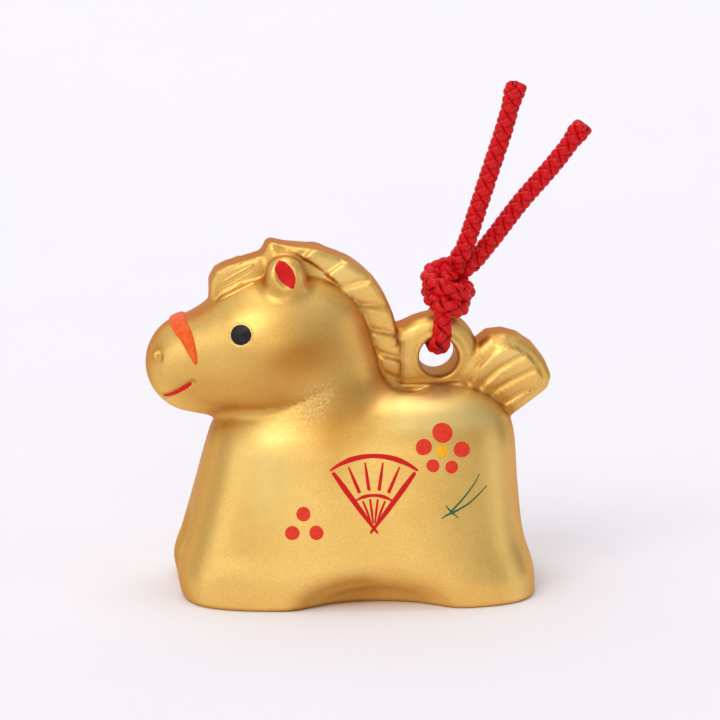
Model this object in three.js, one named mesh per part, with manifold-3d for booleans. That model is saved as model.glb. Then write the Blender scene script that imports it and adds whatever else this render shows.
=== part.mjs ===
// Clay bell in the shape of a standing horse, with a loose clay ball inside and a knotted cord.
// Millimetres, +Z up, the horse looks toward -X, its flat base lies on Z = 0.
import * as THREE from 'three';
import { mergeVertices } from 'three/addons/utils/BufferGeometryUtils.js';
import Module from 'manifold-3d';

const wasm = await Module();
wasm.setup();

// Driving sizes of the clay body
const toesX = -30.1;
const trunkLength = 62.4;
const trunkWidth = 41.2;
const rearSpread = 0.6;
const backHeight = 36.3;
const backRound = 11;
const chestLean = 12.1;
const rumpLean = 4.7;
const flankLean = 5.6;

const skull = { x: -14.9, z: 42.2, r: 13.1 };
const muzzle = { x: -26.3, z: 40.0, r: 8.7 };
const nape = { x: -7.4, z: 43.8, r: 12.2 };
const withers = { x: -5.2, z: 33, r: 13.2 };
const neckSlim = 1.06;
const noseDip = { ahead: 3.0, above: 15.2, r: 7.0 };
const dipBlend = 1.6;
const jawCrease = 2.2;
const neckBlend = 3.5;
const throatBlend = 5;

const earSize = { x: 3.3, y: 2.6, z: 3.9 };
const earSpread = 6.6;
const earBack = 3.3;
const earRise = 1.4;
const earBlend = 2.4;
const earLean = 0.3;
const earTurn = 0.35;

const bellyScoop = { x: 3.2, y: 22.0, z: -0.8, rx: 12.5, ry: 7.8, rz: 5.4 };
const scoopBlend = 3.8;
const legCleft = { depth: 3.6, width: 9, height: 16, inset: 2.4 };
const cleftBlend = 3;

const wall = 3.5;
const chamberRound = 3;
const ballDiameter = 10;
const slotWidth = 5;
const slotLength = 32;
const slotEye = 7;

const maneRadius = 16.5;
const maneThickness = 9.4;
const maneEdge = 1.3;
const manePivot = { x: -8.0, z: 43.5 };
const maneSweep = 1.6;
const crown = { front: -14.6, top: 60.8 };

const eyeletX = 15.6;
const eyeletRise = 4.5;
const eyeletBore = 6.6;
const eyeletRim = 0.8;
const lugRadius = 7.1;
const lugThickness = 8.7;
const lugEdge = 2.2;
const shoulderRise = 9.3;

const tailRootX = 18;
const tailRootDrop = 4.8;
const tailReach = 17.3;
const tailThickness = 9.6;
const tailEdge = 2.1;
const tailCorner = 3.2;

const forelock = { front: 8.2, length: 7.9, lift: 1.2, rise: 3.0 };
const forelockWidth = 10.8;
const forelockEdge = 1.0;
const forelockCorner = 2.4;

const grooveDepth = 0.9;
const grooveWidth = 1.7;
const eyeDimple = { diameter: 3.6, depth: 0.5, back: 4.3, rise: 5.0 };

// Driving sizes of the cord
const cordDiameter = 3.0;
const cordSides = 8;
const meetGap = 0.3;

const soleSpare = 1.5;
const skinStep = 2.2;
const chamberStep = 3.6;
const knotStep = 0.8;

// Side of the blocks that cut the pieces level, wider than the whole object
const blockSide = 120;

// Places that follow from the sizes
const heelX = toesX + trunkLength;
const eyelet = { x: eyeletX, z: backHeight + eyeletRise };
const tailRoot = { x: tailRootX, z: backHeight - tailRootDrop };
const maneRear = manePivot.x + maneRadius;
const underBack = backHeight - 6;

// Trunk outline by height, each station a share of the back height and of the lean named beside it
const stationHeight = [0, 0.11, 0.27, 0.49, 0.70, 0.92, 1.08];
const chestShare = [0.06, 0, 0.124, 0.298, 0.463, 0.669, 1];
const rumpShare = [0, 0.04, 0.38, 0.57, 0.66, 0.79, 1];
const flankShare = [0.04, 0, 0.14, 0.36, 0.61, 0.86, 1];
const squareness = [4.2, 4.0, 3.5, 3.1, 2.9, 2.7, 2.6];

const clayGold = new THREE.MeshStandardMaterial({ color: 0xd9b25e, roughness: 0.38, metalness: 0.65 });
const bareClay = new THREE.MeshStandardMaterial({ color: 0xb98d6a, roughness: 0.9, metalness: 0 });
const cordRed = new THREE.MeshStandardMaterial({ color: 0xc4121b, roughness: 0.75, metalness: 0 });

// Blends of signed distances, negative inside
function softMin(a, b, k) {
  const h = Math.min(Math.max(0.5 + 0.5 * (b - a) / k, 0), 1);
  return b + (a - b) * h - k * h * (1 - h);
}

function softMax(a, b, k) {
  return -softMin(-a, -b, k);
}

// Value at a height between stations, as a smooth curve through them
function between(height, values) {
  const t = Math.min(Math.max(height / backHeight, stationHeight[0]), stationHeight.at(-1));
  let i = 0;
  while (i < stationHeight.length - 2 && t > stationHeight[i + 1]) i += 1;
  const slope = (j) => {
    const a = Math.max(j - 1, 0);
    const b = Math.min(j + 1, values.length - 1);
    return (values[b] - values[a]) / (stationHeight[b] - stationHeight[a]);
  };
  const span = stationHeight[i + 1] - stationHeight[i];
  const s = (t - stationHeight[i]) / span;
  return (2 * s ** 3 - 3 * s ** 2 + 1) * values[i] + (s ** 3 - 2 * s ** 2 + s) * span * slope(i)
    + (3 * s ** 2 - 2 * s ** 3) * values[i + 1] + (s ** 3 - s ** 2) * span * slope(i + 1);
}

function ellipsoid(x, y, z, rx, ry, rz) {
  const near = Math.hypot(x / rx, y / ry, z / rz);
  const steep = Math.hypot(x / rx ** 2, y / ry ** 2, z / rz ** 2);
  return near * (near - 1) / Math.max(steep, 1e-6);
}

// Ball a and ball b with the cone that joins them, both on the middle plane
function taper(x, y, z, a, b) {
  const along = new THREE.Vector2(b.x - a.x, b.z - a.z);
  const length = along.length();
  along.divideScalar(length);
  const s = (x - a.x) * along.x + (z - a.z) * along.y;
  const off = Math.hypot((x - a.x) * along.y - (z - a.z) * along.x, y);
  const sine = (a.r - b.r) / length;
  const cosine = Math.sqrt(1 - sine * sine);
  const foot = s * cosine - off * sine;
  if (foot < 0) return Math.hypot(s, off) - a.r;
  if (foot > cosine * length) return Math.hypot(s - length, off) - b.r;
  return off * cosine + s * sine - a.r;
}

function trunk(x, y, z) {
  const front = toesX + chestLean * between(z, chestShare);
  const rear = heelX - rumpLean * between(z, rumpShare);
  const half = (rear - front) / 2;
  const u = (x - (rear + front) / 2) / half;
  const side = trunkWidth / 2 - flankLean * between(z, flankShare) + rearSpread * u;
  const v = y / side;
  const n = between(z, squareness);
  const r = Math.max((Math.abs(u) ** n + Math.abs(v) ** n) ** (1 / n), 1e-3);
  const du = (Math.abs(u) / r) ** (n - 1) / half;
  const dv = (Math.abs(v) / r) ** (n - 1) / side;
  let d = (r - 1) / Math.max(Math.hypot(du, dv), 1e-3);
  d = softMax(d, z - backHeight, backRound);
  for (const s of [-1, 1]) {
    const scoop = bellyScoop;
    const dug = ellipsoid(x - scoop.x, y - s * scoop.y, z - scoop.z, scoop.rx, scoop.ry, scoop.rz);
    d = softMax(d, -dug, scoopBlend);
  }
  for (const end of [toesX - legCleft.inset, heelX + legCleft.inset]) {
    const deep = legCleft.depth + legCleft.inset;
    d = softMax(d, -ellipsoid(x - end, y, z, deep, legCleft.width / 2, legCleft.height), cleftBlend);
  }
  return d;
}

// Trunk, neck and head: the hollow inside follows this one
function torso(x, y, z) {
  const neck = taper(x, y * neckSlim, z, nape, withers);
  const head = taper(x, y, z, muzzle, skull);
  const whole = softMin(softMin(trunk(x, y, z), neck, neckBlend), head, jawCrease);
  const dip = noseDip.r - Math.hypot(x - muzzle.x + noseDip.ahead, z - muzzle.z - noseDip.above);
  return softMax(Math.min(whole, softMin(head, neck, throatBlend)), dip, dipBlend);
}

function earFrame(side) {
  const place = new THREE.Matrix4().makeRotationX(side * earLean);
  place.premultiply(new THREE.Matrix4().makeRotationY(-earTurn));
  return place.setPosition(skull.x + earBack, side * earSpread, skull.z + skull.r + earRise);
}

const earInverse = [-1, 1].map((side) => earFrame(side).invert());

function outer(x, y, z) {
  let d = torso(x, y, z);
  for (const inverse of earInverse) {
    const p = new THREE.Vector3(x, y, z).applyMatrix4(inverse);
    d = softMin(d, ellipsoid(p.x, p.y, p.z, earSize.x, earSize.y, earSize.z), earBlend);
  }
  return Math.max(d, -soleSpare - z);
}

function chamber(x, y, z) {
  return softMax(torso(x, y, z) + wall, wall - z, chamberRound);
}

// Corners and edges of a grid cell, and for each of its faces the edges round it
const cellCorners = [...Array(8).keys()].map((c) => [c & 1, (c >> 1) & 1, (c >> 2) & 1]);
const cellEdges = [];
for (let a = 0; a < 8; a += 1) {
  for (const bit of [1, 2, 4]) {
    if ((a & bit) === 0) cellEdges.push([a, a | bit]);
  }
}
const cellFaces = [];
for (const bit of [1, 2, 4]) {
  for (const side of [0, bit]) {
    cellFaces.push(cellEdges.map((e, n) => n).filter((n) => cellEdges[n].every((c) => (c & bit) === side)));
  }
}

// Sheets in which a surface crosses a cell, each a list of the cell's edges
function sheets(inside) {
  const sheet = cellEdges.map(([a, b], n) => (inside[a] === inside[b] ? -1 : n));
  const join = (m, n) => {
    const [keep, drop] = [sheet[m], sheet[n]];
    sheet.forEach((v, q) => { if (v === drop) sheet[q] = keep; });
  };
  for (const face of cellFaces) {
    const cut = face.filter((n) => sheet[n] >= 0);
    if (cut.length === 2) join(...cut);
    if (cut.length < 4) continue;
    for (const n of cut) {
      const tip = cellEdges[n].find((c) => inside[c]);
      for (const m of cut) if (m > n && cellEdges[m].includes(tip)) join(n, m);
    }
  }
  const names = [...new Set(sheet.filter((v) => v >= 0))];
  return names.map((name) => sheet.map((v, n) => (v === name ? n : -1)).filter((n) => n >= 0));
}

// Closed skin where a field is zero: one point for each sheet that crosses a cell,
// settled onto the surface, and one quad round each grid edge that the surface crosses
function skin(field, space, step) {
  const low = space.min.toArray().map((v) => v - 1.6 * step);
  const high = space.max.toArray().map((v) => v + 1.6 * step);
  const count = low.map((v, a) => Math.ceil((high[a] - v) / step) + 1);
  const spot = (i, j, k) => (i * count[1] + j) * count[2] + k;
  const value = new Float64Array(count[0] * count[1] * count[2]);
  for (let i = 0; i < count[0]; i += 1) {
    for (let j = 0; j < count[1]; j += 1) {
      for (let k = 0; k < count[2]; k += 1) {
        value[spot(i, j, k)] = field(low[0] + i * step, low[1] + j * step, low[2] + k * step);
      }
    }
  }
  const points = [];
  const pointOf = new Map();
  for (let i = 0; i < count[0] - 1; i += 1) {
    for (let j = 0; j < count[1] - 1; j += 1) {
      for (let k = 0; k < count[2] - 1; k += 1) {
        const corner = cellCorners.map(([a, b, c]) => value[spot(i + a, j + b, k + c)]);
        const inside = corner.map((v) => v < 0);
        if (inside.every((v) => v === inside[0])) continue;
        for (const sheet of sheets(inside)) {
          const mean = new THREE.Vector3();
          for (const n of sheet) {
            const [a, b] = cellEdges[n];
            const from = new THREE.Vector3(...cellCorners[a]);
            const t = corner[a] / (corner[a] - corner[b]);
            mean.add(from.lerp(new THREE.Vector3(...cellCorners[b]), t));
            pointOf.set(spot(i, j, k) * 12 + n, points.length);
          }
          mean.divideScalar(sheet.length).add(new THREE.Vector3(i, j, k)).multiplyScalar(step);
          points.push(settle(field, mean.toArray().map((v, q) => v + low[q]), step / 3));
        }
      }
    }
  }
  const index = [];
  const gap = (p, q) => Math.hypot(...points[p].map((v, n) => v - points[q][n]));
  for (let i = 1; i < count[0] - 1; i += 1) {
    for (let j = 1; j < count[1] - 1; j += 1) {
      for (let k = 1; k < count[2] - 1; k += 1) {
        const here = value[spot(i, j, k)] < 0;
        for (const axis of [0, 1, 2]) {
          const ahead = [0, 1, 2].map((a) => (a === axis ? 1 : 0));
          if (value[spot(i + ahead[0], j + ahead[1], k + ahead[2])] < 0 === here) continue;
          const [u, v] = [(axis + 1) % 3, (axis + 2) % 3];
          const ring = [[1, 1], [0, 1], [0, 0], [1, 0]].map(([du, dv]) => {
            const back = [0, 0, 0];
            back[u] = du;
            back[v] = dv;
            const base = back[0] + 2 * back[1] + 4 * back[2];
            const n = cellEdges.findIndex((e) => e[0] === base && e[1] === base + 2 ** axis);
            return pointOf.get(spot(i - back[0], j - back[1], k - back[2]) * 12 + n);
          });
          const [a, b, c, d] = here ? ring : ring.reverse();
          if (gap(a, c) <= gap(b, d)) index.push(a, b, c, a, c, d);
          else index.push(b, c, d, b, d, a);
        }
      }
    }
  }
  const geometry = new THREE.BufferGeometry();
  geometry.setAttribute('position', new THREE.Float32BufferAttribute(points.flat(), 3));
  geometry.setIndex(index);
  return geometry;
}

// Moves a point along the slope of a field until it lies on the surface
function settle(field, point, reach) {
  const p = [...point];
  const e = 0.02;
  for (let turn = 0; turn < 4; turn += 1) {
    const slope = [0, 1, 2].map((a) => {
      const q = [0, 1, 2].map((b) => (a === b ? e : 0));
      return (field(p[0] + q[0], p[1] + q[1], p[2] + q[2])
        - field(p[0] - q[0], p[1] - q[1], p[2] - q[2])) / (2 * e);
    });
    const steep = Math.max(slope.reduce((sum, v) => sum + v * v, 0), 0.05);
    const size = field(...p) / steep;
    const limit = Math.min(1, reach / Math.max(Math.abs(size) * Math.sqrt(steep), 1e-9));
    p.forEach((v, a) => { p[a] = v - size * limit * slope[a]; });
  }
  return p;
}

function solid(geometry) {
  const bare = geometry.clone();
  bare.deleteAttribute('normal');
  bare.deleteAttribute('uv');
  const merged = mergeVertices(bare, 1e-4);
  return new wasm.Manifold(new wasm.Mesh({
    numProp: 3,
    vertProperties: new Float32Array(merged.attributes.position.array),
    triVerts: new Uint32Array(merged.index.array),
  }));
}

function geometryOf(shape) {
  const mesh = shape.getMesh();
  const geometry = new THREE.BufferGeometry();
  geometry.setAttribute('position', new THREE.BufferAttribute(mesh.vertProperties, 3));
  geometry.setIndex(new THREE.BufferAttribute(mesh.triVerts, 1));
  return geometry;
}

// Plate drawn in X and Z, centred on Y = 0, with rounded edges inside its outline
function plate(shape, thickness, edge) {
  const outline = shape.getPoints(8);
  const spaced = outline.filter((p, n) => n === 0 || p.distanceTo(outline[n - 1]) > 0.05);
  const geometry = new THREE.ExtrudeGeometry(new THREE.Shape(spaced), {
    depth: thickness - 2 * edge,
    bevelThickness: edge,
    bevelSize: edge,
    bevelOffset: -edge,
    bevelSegments: 2,
  });
  geometry.translate(0, 0, edge - thickness / 2);
  geometry.rotateX(Math.PI / 2);
  return geometry;
}

function maneShape() {
  const shape = new THREE.Shape();
  shape.moveTo(maneRear, underBack);
  shape.lineTo(maneRear, manePivot.z);
  shape.absarc(manePivot.x, manePivot.z, maneRadius, 0, maneSweep, false);
  shape.quadraticCurveTo(crown.front + 3, crown.top, crown.front + 1.4, crown.top - 0.3);
  shape.quadraticCurveTo(crown.front, crown.top - 0.6, crown.front, crown.top - 3);
  shape.lineTo(crown.front, nape.z);
  shape.lineTo(nape.x, underBack);
  return shape;
}

function lugShape() {
  const shape = new THREE.Shape();
  const foot = maneRear - 2.5;
  shape.moveTo(foot, underBack);
  shape.lineTo(foot, backHeight + shoulderRise);
  shape.lineTo(maneRear + 1.5, backHeight + shoulderRise + 0.4);
  shape.absarc(eyelet.x, eyelet.z, lugRadius, 1.95, 0, true);
  shape.lineTo(eyelet.x + lugRadius, underBack);
  return shape;
}

// Closed outline through corners [x, z, cut], each corner rounded from cut before it to cut after it
function rounded(corners) {
  const shape = new THREE.Shape();
  corners.forEach(([x, z, cut], n) => {
    const here = new THREE.Vector2(x, z);
    const [before, after] = [n - 1, n + 1].map((m) => {
      const [tx, tz] = corners.at(m % corners.length);
      const way = new THREE.Vector2(tx, tz).sub(here);
      return here.clone().addScaledVector(way, Math.min(cut / way.length(), 0.49));
    });
    if (n === 0) shape.moveTo(before.x, before.y);
    else shape.lineTo(before.x, before.y);
    if (cut > 0) shape.quadraticCurveTo(x, z, after.x, after.y);
  });
  return shape;
}

// Fan about the tail root, its outer edge bowed and both corners rounded
function tailShape() {
  const at = (reach, angle) => [tailRoot.x + reach * Math.cos(angle), tailRoot.z + reach * Math.sin(angle)];
  return rounded([
    [tailRoot.x, tailRoot.z - 1.5, 0],
    [...at(tailReach * 0.62, -0.11), 0],
    [...at(tailReach * 1.03, 0.25), tailCorner],
    [...at(tailReach * 1.04, 0.62), tailCorner],
    [...at(tailReach * 0.99, 1.01), tailCorner],
    [...at(tailReach * 0.60, 1.22), 0],
    [tailRoot.x - 1, tailRoot.z + 4, 0],
  ]);
}

const brow = { x: skull.x - forelock.front, z: skull.z + skull.r };

function forelockShape() {
  const back = brow.x + forelock.length;
  return rounded([
    [brow.x, brow.z - 6, 0],
    [brow.x, brow.z + forelock.lift, forelockCorner],
    [back, brow.z + forelock.lift + forelock.rise, forelockCorner],
    [back + 2.5, brow.z - 1, 0],
    [back, brow.z - 6, 0],
  ]);
}

// Carved stroke with tapered ends, from point a to point b of one face of a plate
function stroke(a, b, faceY) {
  const length = Math.hypot(b[0] - a[0], b[1] - a[1]);
  const geometry = new THREE.OctahedronGeometry(1);
  geometry.scale(length / 2, grooveDepth, grooveWidth / 2);
  geometry.rotateY(-Math.atan2(b[1] - a[1], b[0] - a[0]));
  geometry.translate((a[0] + b[0]) / 2, faceY, (a[1] + b[1]) / 2);
  return geometry;
}

// Locks of the mane: each a stroke from its inner to its outer end, seen from the pivot
function maneStrokes() {
  return [
    [0.0, 15.6, 1.8, 17.1], [4.1, 12.7, 7.8, 15.1], [7.3, 10.1, 12.0, 11.4], [9.7, 6.9, 14.8, 6.3],
    [11.7, 2.5, 16.6, 1.4], [13.1, -1.7, 17.0, -2.9],
  ].map(([x, z, outX, outZ]) => [
    [manePivot.x + x, manePivot.z + z], [manePivot.x + outX, manePivot.z + outZ],
  ]);
}

function tailStrokes() {
  return [[2.4, 5.0, 9.6, 13.2], [4.4, 3.8, 13.0, 9.9], [6.3, 2.7, 14.8, 7.1], [8.5, 0.7, 15.2, 4.1]]
    .map(([x, z, outX, outZ]) => [
      [tailRoot.x + x, tailRoot.z + z], [tailRoot.x + outX, tailRoot.z + outZ],
    ]);
}

function forelockStrokes() {
  return [-0.1, -1.4, -2.7].map((drop) => [
    [brow.x + 0.9, brow.z + drop],
    [brow.x + forelock.length - 0.7, brow.z + drop + 2.6],
  ]);
}

// Round hole across the lug, its rims rounded over
function eyeletCutter() {
  const r = eyeletBore / 2;
  const face = lugThickness / 2;
  const quarter = [0, 1, 2, 3].map((n) => (Math.PI / 2) * (n / 3));
  const rim = quarter.map((t) => new THREE.Vector2(
    r + eyeletRim * (1 - Math.sin(t)),
    eyeletRim * (1 - Math.cos(t)) - face,
  ));
  const lower = [new THREE.Vector2(r + eyeletRim, -face - 2), ...rim];
  const upper = lower.map((p) => new THREE.Vector2(p.x, -p.y)).reverse();
  const ends = [-face - 2, face + 2].map((y) => new THREE.Vector2(0, y));
  const geometry = new THREE.LatheGeometry([ends[0], ...lower, ...upper, ends[1]], 24);
  geometry.translate(eyelet.x, 0, eyelet.z);
  return geometry;
}

// Mouth of the bell: a slot along the base that ends in two round eyes
function mouthCutter() {
  const shape = new THREE.Shape();
  const half = slotWidth / 2;
  const r = slotEye / 2;
  const reach = slotLength / 2 - r;
  const open = Math.asin(half / r);
  shape.absarc(reach, 0, r, Math.PI + open, 3 * Math.PI - open, false);
  shape.absarc(-reach, 0, r, open, 2 * Math.PI - open, false);
  const geometry = new THREE.ExtrudeGeometry(shape, { depth: wall + 4, bevelEnabled: false, curveSegments: 8 });
  geometry.translate(0, 0, -2);
  return geometry;
}

// Point where a ray from the middle plane leaves the head, seen along +Y or -Y
function onHead(x, z, side) {
  let y = 0;
  while (torso(x, side * y, z) < 0) y += 0.05;
  return new THREE.Vector3(x, side * y, z);
}

function dimple(x, z, side, size) {
  const place = onHead(x, z, side);
  const e = 0.05;
  const away = new THREE.Vector3(
    torso(place.x + e, place.y, place.z) - torso(place.x - e, place.y, place.z),
    torso(place.x, place.y + e, place.z) - torso(place.x, place.y - e, place.z),
    torso(place.x, place.y, place.z + e) - torso(place.x, place.y, place.z - e),
  ).normalize();
  const r = (size.diameter ** 2 / 4 + size.depth ** 2) / (2 * size.depth);
  const geometry = new THREE.SphereGeometry(r, 24, 20);
  geometry.translate(...place.addScaledVector(away, r - size.depth).toArray());
  return geometry;
}

function clayBody() {
  const space = new THREE.Box3(
    new THREE.Vector3(Math.min(toesX, muzzle.x - muzzle.r), -trunkWidth / 2 - rearSpread, -soleSpare),
    new THREE.Vector3(heelX, trunkWidth / 2 + rearSpread, skull.z + skull.r + 2 * earSize.z),
  );
  let body = solid(skin(outer, space, skinStep));
  for (const [shape, thickness, edge] of [
    [maneShape(), maneThickness, maneEdge], [lugShape(), lugThickness, lugEdge],
    [tailShape(), tailThickness, tailEdge], [forelockShape(), forelockWidth, forelockEdge],
  ]) {
    body = body.add(solid(plate(shape, thickness, edge)));
  }
  for (const [strokes, thickness] of [
    [maneStrokes(), maneThickness], [tailStrokes(), tailThickness], [forelockStrokes(), forelockWidth],
  ]) {
    for (const [a, b] of strokes) {
      for (const side of [-1, 1]) body = body.subtract(solid(stroke(a, b, side * thickness / 2)));
    }
  }
  for (const side of [-1, 1]) {
    const cup = new THREE.SphereGeometry(1, 12, 8);
    cup.scale(earSize.x * 0.55, earSize.y * 0.7, earSize.z * 0.68);
    cup.translate(0, side * earSize.y * 1.15, 0.2);
    cup.applyMatrix4(earFrame(side));
    body = body.subtract(solid(cup));
    body = body.subtract(solid(dimple(skull.x - eyeDimple.back, skull.z + eyeDimple.rise, side, eyeDimple)));
  }
  const hollow = skin(chamber, space, chamberStep);
  const below = new THREE.BoxGeometry(blockSide, blockSide, blockSide);
  below.translate(0, 0, -blockSide / 2);
  for (const cutter of [hollow, below, eyeletCutter(), mouthCutter()]) body = body.subtract(solid(cutter));
  return geometryOf(body);
}

// The ball lies at the rear end of the hollow, clear of the slot
function ballPlace() {
  const r = ballDiameter / 2;
  const z = wall + meetGap + r;
  let x = heelX;
  while (torso(x, 0, z) + wall > -(r + 2 * meetGap)) x -= 0.25;
  return new THREE.Vector3(x, 0, z);
}

// Route of each half of the cord, from the middle of the eyelet: round the lug, through the
// overhand knot that both halves make together, and out along a free end
const nearRoute = [
  [0, 0, 1.5], [0, -3.5, 1.5], [0, -4.85, 1.85], [0.1, -5.8, 2.8], [0.3, -6.15, 4.1],
  [0.4, -6.2, 5.8], [0.8, -5.1, 8.7], [1.2, -3.5, 10.6], [1.6, -1.9, 12.3], [2.1, -0.2, 13.8],
  [1.9, 1.1, 15.0], [0.6, 1.1, 15.6], [-0.8, 0, 15.1], [-1.5, -1.9, 14.2], [-0.7, -4.0, 13.3],
  [1.4, -5.2, 12.7], [3.5, -4.7, 12.0], [4.8, -2.5, 11.6], [4.9, 0.2, 11.8], [3.9, 2.2, 12.6],
  [2.7, 2.2, 13.9], [2.7, 0.7, 15.4], [3.8, -0.6, 16.9], [4.8, -1.2, 18.9], [6.8, -1.5, 25.0],
  [9.6, -1.7, 33.8], [11.3, -1.8, 39.1], [13.7, -1.8, 47.8],
];
const farRoute = [
  [0, 0, 1.5], [0, 3.5, 1.5], [0, 4.85, 1.85], [0.2, 5.8, 2.8], [0.5, 6.15, 4.1],
  [0.9, 6.2, 6.0], [1.8, 4.5, 8.9], [2.1, 2.6, 10.4], [1.8, 1.3, 11.9], [0.5, 1.4, 12.8],
  [-1.0, 0.6, 12.4], [-1.6, -1.4, 11.7], [-1.5, -3.9, 11.0], [-0.2, -5.8, 10.4], [2.0, -6.1, 9.7],
  [3.9, -4.8, 9.1], [4.9, -2.3, 9.2], [4.9, 0.5, 9.8], [3.8, 2.8, 10.7], [2.6, 3.3, 12.1],
  [2.5, 2.2, 13.6], [3.7, 0.9, 14.3], [5.6, 0.7, 15.0], [9.2, 1.2, 18.9], [14.8, 1.5, 26.1],
  [20.8, 1.7, 33.0], [25.9, 1.8, 39.7],
];
const knotStart = 5;
const knotEnd = 23;
const knotFoot = eyelet.z + 7.3;
const knotTop = eyelet.z + 18.2;
const knotHeart = { x: 1.8, y: -1.5, rise: 12.0, wide: 3.4, tall: 4.2 };

function curveThrough(points) {
  const places = points.map(([x, y, z]) => new THREE.Vector3(eyelet.x + x, y, eyelet.z + z));
  return new THREE.CatmullRomCurve3(places, false, 'centripetal');
}

// Tube with closed ends along a curve
function tube(curve, steps) {
  const section = new THREE.Shape();
  for (let n = 0; n < cordSides; n += 1) {
    const t = ((n + 0.5) * 2 * Math.PI) / cordSides;
    const p = [(cordDiameter / 2) * Math.cos(t), (cordDiameter / 2) * Math.sin(t)];
    if (n === 0) section.moveTo(...p);
    else section.lineTo(...p);
  }
  return new THREE.ExtrudeGeometry(section, { steps, extrudePath: curve, bevelEnabled: false });
}

// Block that fills the space from one height to another round the eyelet
function slab(fromZ, toZ) {
  const geometry = new THREE.BoxGeometry(blockSide, blockSide, toZ - fromZ);
  geometry.translate(eyelet.x, 0, (fromZ + toZ) / 2);
  return solid(geometry);
}

// Both strands of the knot as one skin, pressed together in its heart, its ends cut level
function cordKnot() {
  const strands = [nearRoute, farRoute].map((route) => {
    const stretch = curveThrough(route.slice(knotStart, knotEnd + 1));
    return stretch.getPoints(90);
  });
  const field = (x, y, z) => {
    const p = new THREE.Vector3(x, y, z);
    const spine = Math.sqrt(Math.min(...strands.flat().map((q) => q.distanceToSquared(p))));
    const heart = ellipsoid(x - eyelet.x - knotHeart.x, y - knotHeart.y, z - eyelet.z - knotHeart.rise,
      knotHeart.wide, knotHeart.wide, knotHeart.tall);
    return Math.max(Math.min(spine - cordDiameter / 2, heart), knotFoot - z, z - knotTop);
  };
  const space = new THREE.Box3().setFromPoints(strands.flat()).expandByScalar(cordDiameter / 2);
  return skin(field, space, knotStep);
}

function cordLoop() {
  const through = [...nearRoute.slice(1, knotStart + 2).reverse(), ...farRoute.slice(0, knotStart + 2)];
  const whole = solid(tube(curveThrough(through), 26));
  return geometryOf(whole.subtract(slab(knotFoot - meetGap, knotTop)));
}

function cordEnd(route) {
  const whole = solid(tube(curveThrough(route.slice(knotEnd - 1)), 8));
  return geometryOf(whole.subtract(slab(knotFoot, knotTop + meetGap)));
}

function node(name, geometry, material) {
  const mesh = new THREE.Mesh(geometry, material);
  mesh.name = name;
  return mesh;
}

const bell = new THREE.Group();
bell.add(node('bell_body', clayBody(), clayGold));

const ball = node('rattle_ball', new THREE.SphereGeometry(ballDiameter / 2, 16, 12), bareClay);
ball.position.copy(ballPlace());
bell.add(ball);

bell.add(node('cord_loop', cordLoop(), cordRed));
bell.add(node('cord_knot', cordKnot(), cordRed));
bell.add(node('cord_end_left', cordEnd(nearRoute), cordRed));
bell.add(node('cord_end_right', cordEnd(farRoute), cordRed));

// The origin lies under the middle of the clay body
const outline = new THREE.Box3().setFromObject(bell.getObjectByName('bell_body'));
bell.position.x = -(outline.min.x + outline.max.x) / 2;

export default bell;
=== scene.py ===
"""Clay bell in the form of a standing horse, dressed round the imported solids.

Sizes are in millimetres in the part's drawing frame, whose middle plane is Y = 0, unless a comment says
otherwise. The function metres() takes them into the row frame. The horse looks toward -X.
"""
import math
import bpy
import numpy as np
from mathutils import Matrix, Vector


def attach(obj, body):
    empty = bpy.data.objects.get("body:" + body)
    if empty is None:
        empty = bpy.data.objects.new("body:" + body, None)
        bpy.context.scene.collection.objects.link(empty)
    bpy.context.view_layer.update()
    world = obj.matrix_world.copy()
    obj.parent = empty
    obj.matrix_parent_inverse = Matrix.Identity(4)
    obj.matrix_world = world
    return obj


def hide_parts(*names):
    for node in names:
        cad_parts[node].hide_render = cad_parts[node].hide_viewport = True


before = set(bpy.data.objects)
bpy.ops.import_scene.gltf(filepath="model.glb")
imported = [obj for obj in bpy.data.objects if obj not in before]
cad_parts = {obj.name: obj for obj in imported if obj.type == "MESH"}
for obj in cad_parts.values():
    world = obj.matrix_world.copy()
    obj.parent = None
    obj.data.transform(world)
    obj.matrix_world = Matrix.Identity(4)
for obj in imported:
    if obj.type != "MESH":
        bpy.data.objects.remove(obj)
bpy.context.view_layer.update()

MM = 0.001
# Where the drawing's X = 0 lies in the row frame
DRAWING_X = 0.2777
rng = np.random.default_rng(7)


def metres(points):
    return (np.asarray(points, float) + np.array([DRAWING_X, 0, 0])) * MM


def share(value, none_at, all_at):
    """0 to 1 as the value goes from none_at to all_at."""
    return np.clip((value - none_at) / (all_at - none_at), 0, 1)


def hump(value, middle, width):
    return np.exp(-((value - middle) / width) ** 2)


def unit(vectors):
    return vectors / np.maximum(np.linalg.norm(vectors, axis=1), 1e-9)[:, None]


# Camera
PICTURE_PIXELS = 720
PIXELS_PER_MM = 5.75
SENSOR_MM = 36.0
CAMERA_TURN, CAMERA_RAISE = math.radians(-5.0), math.radians(12.5)
CAMERA_FAR = 900.0
CAMERA_REACH_M = 20.0
CAMERA_TARGET = np.array([2.3, 0.0, 39.7])
RIGHT = np.array([math.cos(CAMERA_TURN), math.sin(CAMERA_TURN), 0.0])
FORWARD = np.array([
    -math.sin(CAMERA_TURN) * math.cos(CAMERA_RAISE),
    math.cos(CAMERA_TURN) * math.cos(CAMERA_RAISE),
    -math.sin(CAMERA_RAISE),
])
UPWARD = np.cross(RIGHT, FORWARD)
CAMERA_AT = CAMERA_TARGET - CAMERA_FAR * FORWARD


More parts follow.
